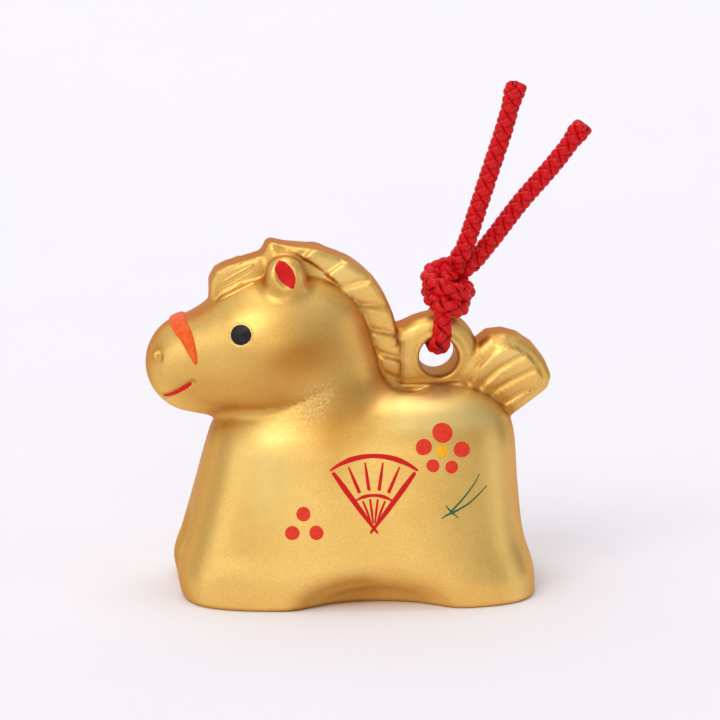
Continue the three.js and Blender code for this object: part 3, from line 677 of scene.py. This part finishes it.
def forelock(x, y, z):
    flat = polygon(x, z, FORELOCK, FORELOCK_GROWN)
    half = FORELOCK_HALF - BED_DEEP * share(flat, *BED_RIM) * share(x, *BED_EAR)
    return plate(flat, y, half, FORELOCK_EDGE)


EAR_AT, EAR_TURN, EAR_LEAN = (-11.1, 6.5, 56.0), 0.35, 0.30
# Ear and the hollow in it, in the turned frame: middle, radii and blend
EAR = ((0.0, 0.0, 0.0), (3.5, 2.7, 3.7), 2.3)
EAR_CUP = ((-0.45, 3.0, 0.2), (1.9, 1.4, 2.9), 0.4)


def ears(d, x, y, z):
    """The form d with both ears."""
    p, q, r = x - EAR_AT[0], np.abs(y) - EAR_AT[1], z - EAR_AT[2]
    c, s = math.cos(EAR_LEAN), math.sin(EAR_LEAN)
    q, r = c * q + s * r, -s * q + c * r
    c, s = math.cos(EAR_TURN), math.sin(EAR_TURN)
    p, r = c * p + s * r, -s * p + c * r
    return dented(swollen(d, p, q, r, *EAR), p, q, r, *EAR_CUP)


CREST = [(7.9, 5.6, 36.0), (9.7, 5.3, 36.0), (15.4, 5.0, 35.9), (19.2, 5.0, 36.1), (22.0, 5.0, 34.6),
         (24.6, 4.9, 32.5), (26.6, 4.8, 31.0)]
MOUTH = [(-32.3, 3.7, 34.9), (-31.1, 5.75, 35.58), (-29.78, 7.13, 36.43), (-28.45, 8.05, 37.39),
         (-27.3, 8.75, 38.4)]
CREST_RADIUS, MOUTH_RADIUS = 0.5, 0.28
# Crease behind the nostril, twice as high as it is long
CREASE_AT, CREASE_RADIUS = (-32.8, 5.8, 42.2), 0.4
# Eyelet: its hole, and the lip's distance from the axis and the middle plane and its own radius
HOLE_RADIUS, HOLE_BLEND = 3.25, 1.7
LIP_AT, LIP_Y, LIP_RADIUS = 3.95, 4.15, 0.42
# Blends of the single forms with the body
MANE_BLEND, LUG_BLEND, TAIL_BLEND, FORELOCK_BLEND = 0.5, 0.6, 0.5, 0.7
LINE_BLEND, NOSE_CREASE_BLEND, SOLE_BLEND = 0.5, 0.3, 0.9


def outer(x, y, z):
    """Outside of the clay body."""
    side = np.abs(y)
    d = dented(torso(x, y, z), x, side, z, *MANE_DIP)
    d = soft_min(d, mane(x, y, z), MANE_BLEND)
    d = soft_min(d, lug(x, y, z), LUG_BLEND)
    d = soft_min(d, tail(x, y, z), TAIL_BLEND)
    d = soft_min(d, chain(x, y, z, CREST, CREST_RADIUS), LINE_BLEND)
    d = soft_min(d, forelock(x, y, z), FORELOCK_BLEND)
    d = soft_max(d, -chain(x, y, z, MOUTH, MOUTH_RADIUS), LINE_BLEND)
    d = ears(d, x, y, z)
    d = dented(d, x, side, z, *EYE_BED)
    d = swollen(d, x, side, z, *NOSTRIL)
    p, q, r = x - CREASE_AT[0], side - CREASE_AT[1], (z - CREASE_AT[2]) / 2
    d = soft_max(d, CREASE_RADIUS - np.sqrt(p ** 2 + q ** 2 + r ** 2), NOSE_CREASE_BLEND)
    from_eyelet = np.hypot(x - EYELET[0], z - EYELET[2])
    d = soft_max(d, HOLE_RADIUS - from_eyelet, HOLE_BLEND)
    d = soft_min(d, np.hypot(from_eyelet - LIP_AT, side - LIP_Y) - LIP_RADIUS, LINE_BLEND)
    return soft_max(d, -z, SOLE_BLEND)


WALL = 3.5
CHAMBER_BLEND, WALL_BLEND, SLOT_BLEND = 3.0, 0.3, 0.5
SLOT_HALF_LONG, SLOT_HALF_WIDE, SLOT_END_RADIUS = 12.5, 2.5, 3.5
SLOT_OVER_WALL = 2


def chamber(x, y, z):
    return soft_max(torso(x, y, z) + WALL, WALL - z, CHAMBER_BLEND)


def mouth_slot(x, y, z):
    bar = oblong(x, y, (0, 0), (SLOT_HALF_LONG, SLOT_HALF_WIDE))
    ends = np.hypot(np.abs(x) - SLOT_HALF_LONG, y) - SLOT_END_RADIUS
    return np.maximum(np.minimum(bar, ends), z - WALL - SLOT_OVER_WALL)


def clay(x, y, z):
    d = soft_max(outer(x, y, z), -chamber(x, y, z), WALL_BLEND)
    return soft_max(d, -mouth_slot(x, y, z), SLOT_BLEND)


# Surface of a field of signed distances
POINTS_AT_ONCE = 200000
SLOPE_STEP, FLATTEST = 0.03, 0.05
SKIN_STEP = 0.45
# Cubes in a block, and how many block widths from the surface a block is looked at closely
BLOCK, BLOCK_REACH = 4, 1.7
SKIN_ROUNDS, SETTLE_ROUNDS = 3, 6
SKIN_LOW, SKIN_HIGH = (-37.4, -22.6, -1.6), (36.4, 22.6, 64.0)


def at_points(field, p):
    return np.concatenate([field(*q.T) for q in np.array_split(p, max(len(p) // POINTS_AT_ONCE, 1))])


def slope_at(field, p):
    e = SLOPE_STEP
    return np.stack([(at_points(field, p + s) - at_points(field, p - s)) / (2 * e) for s in np.eye(3) * e], 1)


def settled(field, p, rounds, most=np.inf):
    """Points moved onto the surface along its slope, each move no longer than most."""
    for _ in range(rounds):
        g = slope_at(field, p)
        move = -at_points(field, p)[:, None] * g / np.maximum((g * g).sum(1), FLATTEST)[:, None]
        reach = np.linalg.norm(move, axis=1)[:, None]
        p = p + move * np.minimum(1, most / np.maximum(reach, 1e-9))
    return p


CORNERS = [(i, j, k) for i in (0, 1) for j in (0, 1) for k in (0, 1)]


def grid_values(field, low, high, step):
    """Values of a field on a grid, exact near the surface and one for each block away from it."""
    blocks = np.ceil((np.array(high) - low) / (step * BLOCK)).astype(int)
    middles = np.stack(np.meshgrid(*[np.arange(b) for b in blocks], indexing="ij"), -1).reshape(-1, 3)
    value = at_points(field, low + step * (middles * BLOCK + (BLOCK - 1) / 2)).reshape(blocks)
    for axis in range(3):
        value = np.repeat(value, BLOCK, axis=axis)
    near = np.argwhere(np.abs(value) < step * BLOCK * BLOCK_REACH)
    value[tuple(near.T)] = at_points(field, low + near * step)
    return value


def crossed_cells(inside):
    """Cells that the surface passes through, and a grid of their numbers."""
    a, b, c = inside.shape
    total = sum(inside[i:a - 1 + i, j:b - 1 + j, k:c - 1 + k].astype(int) for i, j, k in CORNERS)
    crossed = (total > 0) & (total < len(CORNERS))
    cells = np.argwhere(crossed)
    number = -np.ones(crossed.shape, int)
    number[tuple(cells.T)] = np.arange(len(cells))
    return cells, number


def cell_points(value, cells):
    """Middle of the places where the surface crosses each cell's edges, in grid steps."""
    gathered, crossings = np.zeros((len(cells), 3)), np.zeros(len(cells))
    for a in CORNERS:
        for axis in range(3):
            if a[axis]:
                continue
            b = np.array(a)
            b[axis] = 1
            va, vb = value[tuple((cells + a).T)], value[tuple((cells + b).T)]
            cut = (va < 0) != (vb < 0)
            t = np.where(cut, va / np.where(cut, va - vb, 1), 0)
            gathered += np.where(cut[:, None], a + t[:, None] * (b - a), 0)
            crossings += cut
    return cells + gathered / crossings[:, None]


def cell_faces(inside, number):
    """A quad round each of the grid's edges that crosses the surface, turned outward."""
    faces = []
    for axis in range(3):
        ahead = [int(axis == q) for q in range(3)]
        here = inside[tuple(slice(0, inside.shape[q] - ahead[q]) for q in range(3))]
        there = inside[tuple(slice(ahead[q], inside.shape[q]) for q in range(3))]
        edge = np.argwhere(here != there)
        u, v = (axis + 1) % 3, (axis + 2) % 3
        ring = []
        for du, dv in ((1, 1), (0, 1), (0, 0), (1, 0)):
            c = edge.copy()
            c[:, u] -= du
            c[:, v] -= dv
            ring.append(number[tuple(c.T)])
        ring = np.stack(ring, 1)
        out = ~here[tuple(edge.T)]
        ring[out] = ring[out][:, ::-1]
        faces.append(ring)
    return np.concatenate(faces)


def skin(field, low, high, step):
    """Quads where a field is zero, their corners settled onto the surface."""
    low = np.array(low, float)
    value = grid_values(field, low, high, step)
    cells, number = crossed_cells(value < 0)
    points = low + step * cell_points(value, cells)
    return settled(field, points, SKIN_ROUNDS, step / 2), cell_faces(value < 0, number)


# Spots of painted shade and highlight, seen from the side: middle and width along X, middle and height along
# Z
SPOTS = {
    "cheek": (-8.8, 8.4, 44.4, 6.6),
    "flank_hollow": (-3.4, 3.6, 27.0, 8.0),
    "chest": (-14.5, 5.5, 24.0, 9.0),
    "mane_top": (-3.5, 5.5, 55.5, 4.5),
    "tail_top": (28.5, 3.5, 41.5, 2.5),
}
FLANK_FROM = (4.8, 7.8)
FACING_SIDE = 0.7
# Distances from the surface at which creases are felt for, to paint shade into them
CREASE_REACHES = (0.7, 1.6, 3.2, 6.4)
SANDY_X, SANDY_Z, SANDY_RISE, SANDY_LONG, SANDY_HIGH = -6.6, 35.2, 0.6, 4.0, 2.8


def from_side(p):
    """X, distance from the middle plane and Z of points."""
    return p[:, 0], np.abs(p[:, 1]), p[:, 2]


def spot(name, x, z):
    x_middle, x_width, z_middle, z_width = SPOTS[name]
    return hump(x, x_middle, x_width) * hump(z, z_middle, z_width)


def bare_tone(p):
    """The hollow's wall and the sides of the slot."""
    slot_wall = share(np.abs(at_points(mouth_slot, p)), 0.4, 0.1) * (p[:, 2] < WALL + 1) * (p[:, 2] > 0.25)
    return np.maximum(share(np.abs(at_points(chamber, p)), 0.5, 0), slot_wall)


def rim_shade_tone(p, way):
    """Painted shade on the narrow rims above the back, and on what faces the rear."""
    rim = share(np.abs(way[:, 1]), 0.5, 0.0455) * share(p[:, 2], 36, 41)
    behind = share(way[:, 0], 0.6, 1) * (p[:, 2] < 40)
    return np.clip(0.95 * rim + 0.4 * behind, 0, 1)


def open_back(p, way):
    """The back beside the crest line, where a highlight is painted and painted shade is lessened."""
    x, side, z = from_side(p)
    return share(way[:, 2], 0.25, 0.55) * share(x, 4, 9) * share(np.abs(z - 35), 6, 4) * share(side, 4.4, 6.4)


def painted_crease_shade(p, way):
    """How closely clay stands round each point, as painted shade in creases."""
    x, side, z = from_side(p)
    crease_shade = sum(share(at_points(outer, p + way * reach), reach, 0) for reach in CREASE_REACHES)
    crease_shade /= len(CREASE_REACHES)
    crease_shade *= 2.9 - 2.1 * share(x, 1, 5) * share(side, 6.5, 8.5)
    crease_shade *= 1 - 0.55 * share(z, 50, 53)
    return crease_shade * (1 - 0.45 * share(x, -12, -16) * share(z, 39, 37))


def painted_shade_tone(p, way):
    """Painted shade in creases, on the cheek, under the jaw, on the tail, on what faces the front and in the
    hollow of the flank.
    """
    x, side, z = from_side(p)
    flank = share(side, *FLANK_FROM)
    cheek = spot("cheek", x, z) * flank * share(way[:, 2], 0.75, 0.125) * share(z, 33, 42)
    jaw = share(way[:, 2], 0.1818, -0.2727) * share(z, 31, 34) * (x < 2) * flank
    tail_part = share(x, 20, 22) * share(z, 33, 35)
    front = share(way[:, 0], -0.625, -1.0417)
    hollow = spot("flank_hollow", x, z) * flank
    painted_shade = painted_crease_shade(p, way) + 0.9 * cheek + 0.6 * jaw + 0.15 * tail_part + 0.6 * front + 0.45 * hollow
    return np.clip(painted_shade * (1 - 0.6 * open_back(p, way)), 0, 1)


def painted_highlight_tone(p, way):
    """Painted highlight on the open back, the chest, the sides of mane and tail near their tops, and the
    rump.
    """
    x, side, z = from_side(p)
    chest = spot("chest", x, z) * share(side, *FLANK_FROM)
    tops = (spot("mane_top", x, z) + spot("tail_top", x, z)) * (np.abs(way[:, 1]) > FACING_SIDE)
    rump = share(way[:, 0], 0.35, 0.7) * share(z, 38, 34)
    return np.clip(0.9 * open_back(p, way) + 0.45 * chest + 0.8 * tops + 0.5 * rump, 0, 1)


def sand_and_glint_tone(p):
    """A rough patch on the painted side, where the throat meets the chest, with painted glints on it."""
    x, y, z = p.T
    return (hump(x, SANDY_X, SANDY_LONG) * hump(z - SANDY_RISE * (x - SANDY_X), SANDY_Z, SANDY_HIGH)
            * (y < 0))


def on_bell(name, points, faces, material):
    made = new_object(name, metres(points), faces, material)
    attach(made, "bell")
    return made


def make_body(material):
    points, faces = skin(clay, SKIN_LOW, SKIN_HIGH, SKIN_STEP)
    made = on_bell("horse_shell", points, faces, material)
    way = unit(slope_at(outer, points))
    add_values(made, "bare", bare_tone(points))
    # Values on the mesh for painted shade on rims, painted shade, painted highlight, and the sandy patch with
    # its painted glints
    add_values(made, "painted_rim_shade", rim_shade_tone(points, way))
    add_values(made, "painted_shade", painted_shade_tone(points, way))
    add_values(made, "painted_highlight", painted_highlight_tone(points, way))
    add_values(made, "sand_and_glint", sand_and_glint_tone(points))
    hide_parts("bell_body")


gold = gold_paint()
make_body(gold)
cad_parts["rattle_ball"].data.materials.clear()
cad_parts["rattle_ball"].data.materials.append(bare_clay())


# Paint on the clay. Strokes and dots are placed and sized in pixels of the camera's picture.
MARCH_FROM = CAMERA_FAR - 60.0
MARCH_STEPS, MARCH_SHARE = 60, 0.8
PAINT_UNDER = 0.03
BRUSH_LANES, BAND_LANES = 5, 9


def clay_under(pixels):
    """Points of the outer surface under pixels, and the ways out of it there."""
    px = np.asarray(pixels, float) - PICTURE_PIXELS / 2
    ray = unit(FORWARD + (px[:, :1] * RIGHT - px[:, 1:] * UPWARD) / (PIXELS_PER_MM * CAMERA_FAR))
    along = np.full(len(px), MARCH_FROM)
    for _ in range(MARCH_STEPS):
        along += MARCH_SHARE * at_points(outer, CAMERA_AT + along[:, None] * ray)
    p = CAMERA_AT + along[:, None] * ray
    return p, unit(slope_at(outer, p))


def strip(rows, lanes):
    """Faces of a strip of rows by lanes of points, and its border in order."""
    quads = [(i * lanes + j, i * lanes + j + 1, (i + 1) * lanes + j + 1, (i + 1) * lanes + j)
             for i in range(rows - 1) for j in range(lanes - 1)]
    border = ([i * lanes for i in range(rows)] + [(rows - 1) * lanes + j for j in range(1, lanes)]
              + [i * lanes + lanes - 1 for i in range(rows - 2, -1, -1)] + list(range(lanes - 2, 0, -1)))
    return quads, border[::-1]


def closed_film(quads, border, count):
    """Faces of a film: count points on top and as many below them, with walls round the border."""
    faces = list(quads) + [tuple(count + i for i in reversed(q)) for q in quads]
    return faces + [(a, count + a, count + b, b) for a, b in zip(border, border[1:] + border[:1])]


def paint(name, patches, material, both_sides=False, lift=0.07, sink=0.15, crown=8):
    """Thin closed films, each patch (pixels, faces, border, share of the way from middle to border)."""
    points, faces = [], []
    for pixels, quads, border, outward in patches:
        p, n = clay_under(pixels)
        top = p + n * (lift * (1 - outward ** crown) - PAINT_UNDER * outward ** crown)[:, None]
        film = closed_film(quads, border, len(p))
        for flip in ((1, -1) if both_sides else (1,)):
            first = sum(len(q) for q in points)
            points.append(np.vstack([top, p - n * sink]) * np.array([1, flip, 1]))
            faces += [tuple(first + i for i in q[::flip]) for q in film]
    on_bell(name, np.vstack(points), faces, material)


def blob(outline, rings=5):
    """Patch inside a closed outline, which every ray from its middle crosses once."""
    line = np.asarray(outline, float)
    middle = line.mean(0)
    n = len(line)
    shares = np.linspace(0, 1, rings + 1)[1:]
    pixels = np.vstack([middle[None], *[middle + s * (line - middle) for s in shares]])
    faces = [(0, 1 + (q + 1) % n, 1 + q) for q in range(n)]
    for k in range(rings - 1):
        a, b = 1 + k * n, 1 + (k + 1) * n
        faces += [(a + q, a + (q + 1) % n, b + (q + 1) % n, b + q) for q in range(n)]
    border = [1 + (rings - 1) * n + q for q in range(n)]
    return pixels, faces, border, np.concatenate([[0], np.repeat(shares, n)])


def dot(cx, cy, r, n=28, wobble=0.02):
    t = np.linspace(0, 2 * math.pi, n, endpoint=False)
    a, b = rng.uniform(0, 2 * math.pi, 2)
    radius = r * (1 + wobble * np.cos(2 * t + a) + wobble * 0.6 * np.cos(3 * t + b))
    return blob(np.stack([cx + radius * np.cos(t), cy + radius * np.sin(t)], 1))


def smooth_line(points, steps=8):
    p = np.column_stack([np.asarray(points, float), np.zeros(len(points))])
    return curve_through(p, steps)[:, :2]


def brush(points, widths, steps=8):
    """Stroke along points, its width given at equal shares of its length."""
    line = smooth_line(points, steps)
    half = np.interp(np.linspace(0, 1, len(line)), np.linspace(0, 1, len(widths)), widths) / 2
    way = unit(np.gradient(line, axis=0))
    across = np.stack([-way[:, 1], way[:, 0]], 1)
    lanes = np.linspace(-1, 1, BRUSH_LANES)
    pixels = line[:, None] + across[:, None] * half[:, None, None] * lanes[None, :, None]
    quads, border = strip(len(line), BRUSH_LANES)
    outward = np.broadcast_to(np.abs(lanes), (len(line), BRUSH_LANES)).copy()
    outward[0] = outward[-1] = 1
    return pixels.reshape(-1, 2), [q[::-1] for q in quads], border, outward.ravel()


def strokes(rows):
    return [brush(*row) for row in rows]


# Noseband in millimetres: places on one side up to the middle plane, widths, and how it lies on the clay
NOSEBAND = [(-26.76, -9.19, 41.45), (-27.1, -8.85, 42.7), (-27.7, -7.91, 44.49), (-28.3, -6.57, 45.97),
            (-29.1, -4.84, 47.0), (-29.5, -2.4, 47.9), (-29.6, 0.0, 48.2)]
NOSEBAND_WIDTHS = [0.5, 1.7, 2.3, 2.7, 3.0, 3.1, 3.1]
BAND_STEP, BAND_LIFT, BAND_SINK, BAND_UNDER, BAND_END = 0.4, 0.5, 0.3, 0.05, 0.8


def make_noseband(material):
    """Raised band over the middle plane, the same on both sides."""
    line = np.array(NOSEBAND)
    line = curve_through(np.vstack([line, (line[:-1] * np.array([1, -1, 1]))[::-1]]), 12)
    line, at = even_steps(line, BAND_STEP)
    widths = NOSEBAND_WIDTHS + NOSEBAND_WIDTHS[-2::-1]
    half = np.interp(at / at[-1], np.linspace(0, 1, len(widths)), widths) / 2
    line = settled(outer, line, SETTLE_ROUNDS)
    across = unit(np.cross(unit(slope_at(outer, line)), np.gradient(line, axis=0)))
    lanes = np.linspace(-1, 1, BAND_LANES)
    spread = (line[:, None] + across[:, None] * (half[:, None] * lanes)[..., None]).reshape(-1, 3)
    p = settled(outer, spread, SETTLE_ROUNDS)
    n = unit(slope_at(outer, p))
    ends = share(np.minimum(at, at[-1] - at), 0, BAND_END)[:, None]
    crown = (1 - np.abs(lanes) ** 5)[None, :] * np.sqrt(ends)
    top = p + n * ((BAND_LIFT + BAND_UNDER) * crown - BAND_UNDER).reshape(-1, 1)
    quads, border = strip(len(line), BAND_LANES)
    on_bell("noseband", np.vstack([top, p - n * BAND_SINK]), closed_film(quads, border, len(p)), material)


EYE_AT, EYE_RADIUS, RIM_RADIUS, RIM_WIDE = (241.0, 335.0), 11.2, 12.1, 1.7
EAR_INSIDE = [(278.6, 259.5), (284.5, 261.3), (290.6, 267.0), (295.2, 275.5), (295.6, 282.0),
              (293.9, 289.4), (286.6, 286.6), (279.8, 281.0), (276.0, 273.5), (274.4, 266.4)]
# Strokes: points, and the widths along them
FORELOCK_RIDGES = [
    ([(216.4, 275.6), (228.0, 269.6), (243.0, 262.6)], [1.4, 2.8, 1.4]),
    ([(221.0, 282.4), (236.0, 274.0), (253.6, 264.4)], [1.4, 3.0, 1.8]),
    ([(222.4, 289.0), (238.0, 280.6), (255.0, 270.4)], [1.4, 3.0, 1.8]),
    ([(222.0, 294.8), (232.0, 288.8), (243.0, 282.4)], [1.0, 2.2, 1.0]),
    ([(219.6, 300.4), (236.0, 292.0), (254.6, 282.4)], [1.8, 3.2, 2.0]),
]
MOUTH_LINE = [([(163.4, 395.3), (170.0, 394.2), (178.0, 391.0), (186.0, 386.6), (192.3, 382.2)],
               [2.0, 3.8, 4.6, 5.0, 3.0])]
PINE_NEEDLES = [
    ([(449.6, 513.6), (456.0, 506.5), (464.0, 497.5), (472.0, 487.0), (477.0, 479.0), (479.6, 473.3)],
     [2.6, 2.4, 2.0, 1.7, 1.3, 0.9]),
    ([(449.8, 514.2), (459.0, 509.4), (469.2, 503.0), (478.5, 494.6), (487.6, 484.8)],
     [2.8, 2.4, 2.1, 1.6, 0.9]),
    ([(445.3, 505.2), (450.5, 511.0), (458.9, 518.4)], [1.0, 2.6, 1.0]),
    ([(441.1, 518.8), (448.0, 514.6), (455.5, 511.5)], [1.0, 2.6, 1.4]),
]
# Dots: middle and radius
PETALS = [(442.5, 432.8, 11.0), (423.8, 447.1, 8.9), (461.8, 449.5, 8.7), (433.0, 465.8, 7.1),
          (451.8, 467.1, 7.0)]
BLOSSOM_HEART = (441.9, 451.5, 6.8)
THREE_DOTS = [(303.4, 514.2, 7.8), (292.3, 533.1, 7.8), (316.4, 532.9, 7.8)]
# Folding fan: its pivot, the lengths from it, and angles from the upright in radians
FAN_AT, FAN_LONG, FAN_SPREAD = (374.0, 529.0), 73.0, 0.63
FAN_FOLDS = (-0.38, -0.13, 0.13, 0.38)


def eye_rim():
    turns = np.linspace(0, 2 * math.pi, 17)
    ring = [(EYE_AT[0] + RIM_RADIUS * math.cos(t), EYE_AT[1] + RIM_RADIUS * math.sin(t)) for t in turns]
    return brush(ring, [RIM_WIDE, RIM_WIDE], 3)


def fan_strokes():
    """Two arcs, two outer sticks, and a fold and a rib for each inner one."""
    def at(r, t):
        return (FAN_AT[0] + r * math.sin(t), FAN_AT[1] - r * math.cos(t))

    def arc(r, widths, inset):
        return brush([at(r, t) for t in np.linspace(inset - FAN_SPREAD, FAN_SPREAD - inset, 9)], widths, 5)

    def stick(places, widths):
        return brush([at(r, t) for r, t in places], widths)

    made = [arc(FAN_LONG, [2.4, 6.4, 5.2, 6.8, 2.8], -0.03),
            arc(FAN_LONG * 0.46, [2.0, 4.4, 3.6, 4.6, 2.0], 0.04)]
    for t in (-FAN_SPREAD, FAN_SPREAD):
        places = [(-7, t * 1.1), (FAN_LONG * 0.3, t), (FAN_LONG * 0.7, t), (FAN_LONG * 0.97, t)]
        made.append(stick(places, [2.8, 6.0, 6.8, 4.2]))
    for t in FAN_FOLDS:
        fold = [(FAN_LONG * 0.52, t), (FAN_LONG * 0.74, t * 1.02), (FAN_LONG * 0.93, t * 1.03)]
        rib = [(5, t * 1.3), (FAN_LONG * 0.24, t), (FAN_LONG * 0.42, t)]
        made += [stick(fold, [4.2, 3.8, 1.8]), stick(rib, [2.0, 3.0, 2.4])]
    return made


def paint_all():
    orange_red, band_red, deep_red, yellow, green, black = (
        flat_paint(name, *look) for name, look in PAINTS.items())
    make_noseband(band_red)
    paint("eyes", [dot(*EYE_AT, EYE_RADIUS, 36, 0.005)], black, both_sides=True)
    paint("eye_rims", [eye_rim()], gold, both_sides=True, lift=0.16, crown=2)
    ear_line = smooth_line([*EAR_INSIDE, EAR_INSIDE[0]], 4)[:-1]
    paint("ear_insides", [blob(ear_line, 10)], deep_red, both_sides=True, lift=0.1, sink=0.4)
    paint("forelock_ridges", strokes(FORELOCK_RIDGES), gold, both_sides=True, lift=0.28, crown=2)
    paint("mouth_line", strokes(MOUTH_LINE), deep_red, both_sides=True, lift=0.13)
    paint("blossom_petals", [dot(*petal) for petal in PETALS], orange_red)
    paint("blossom_heart", [dot(*BLOSSOM_HEART)], yellow)
    paint("three_dots", [dot(*place) for place in THREE_DOTS], orange_red)
    paint("pine_needles", strokes(PINE_NEEDLES), green)
    paint("folding_fan", fan_strokes(), deep_red)


paint_all()


# Floor and light, in metres and watts
FLOOR_FRONT, FLOOR_BEND_AT, FLOOR_BEND, FLOOR_TOP, FLOOR_HALF_WIDE = -1.5, 0.3, 0.5, 1.6, 1.2
LAMPS_AIM = Vector((0, 0, 0.035))
# Lamps: place, width and power
LAMPS = {
    "key": ((-1.4, -2.0, 2.6), 2.0, 34.0),
    "front": ((0.0, -3.0, 0.9), 1.4, 6.0),
    "left": ((-2.9, -1.0, 0.9), 1.4, 4.5),
    "right": ((3.0, -0.6, 0.7), 1.4, 4.5),
    "top": ((0.0, 0.4, 3.0), 2.0, 20.0),
}
# The room is brightest in this direction
ROOM_BRIGHT = (-0.4, -0.6, 0.7)
ROOM_LEVELS = {"From Min": -0.4, "From Max": 1.0, "To Min": 0.14, "To Max": 0.66}
ROOM_COLOUR = (1.0, 0.99, 1.0, 1.0)


def make_floor():
    """Sheet of pale paper that curves up behind the bell."""
    s = Shader("floor_paper", Roughness=0.9)
    s.set("Base Color", s.mix(s.ramp(s.noise(60.0), 0.3, 0.7), PAPER, DEEP_PAPER))
    turn = np.linspace(0, math.pi / 2, 24)
    bend = zip(FLOOR_BEND_AT + FLOOR_BEND * np.sin(turn), FLOOR_BEND - FLOOR_BEND * np.cos(turn))
    profile = [(FLOOR_FRONT, 0.0), *bend, (FLOOR_BEND_AT + FLOOR_BEND, FLOOR_TOP)]
    points = [(x, y, z) for y, z in profile for x in (-FLOOR_HALF_WIDE, FLOOR_HALF_WIDE)]
    faces = [(2 * n, 2 * n + 1, 2 * n + 3, 2 * n + 2) for n in range(len(profile) - 1)]
    new_object("floor", points, faces, s.material)


def make_lamp(name, place, size, watts):
    data = bpy.data.lights.new(name, "AREA")
    data.shape = "DISK"
    data.size = size
    data.energy = watts
    lamp = bpy.data.objects.new(name, data)
    bpy.context.scene.collection.objects.link(lamp)
    lamp.location = place
    lamp.rotation_euler = (LAMPS_AIM - Vector(place)).to_track_quat("-Z", "Y").to_euler()


def make_world():
    """Soft room light, brighter above and on the painted side."""
    world = bpy.data.worlds.new("room")
    world.use_nodes = True
    bpy.context.scene.world = world
    nodes, links = world.node_tree.nodes, world.node_tree.links
    back = nodes["Background"]
    place = nodes.new("ShaderNodeTexCoord")
    toward = nodes.new("ShaderNodeVectorMath")
    toward.operation = "DOT_PRODUCT"
    toward.inputs[1].default_value = ROOM_BRIGHT
    links.new(place.outputs["Generated"], toward.inputs[0])
    level = nodes.new("ShaderNodeMapRange")
    for key, value in ROOM_LEVELS.items():
        level.inputs[key].default_value = value
    links.new(toward.outputs["Value"], level.inputs["Value"])
    links.new(level.outputs["Result"], back.inputs["Strength"])
    back.inputs["Color"].default_value = ROOM_COLOUR


make_floor()
for lamp_name, lamp in LAMPS.items():
    make_lamp(lamp_name, *lamp)
make_world()
bpy.context.scene.view_settings.view_transform = "Standard"
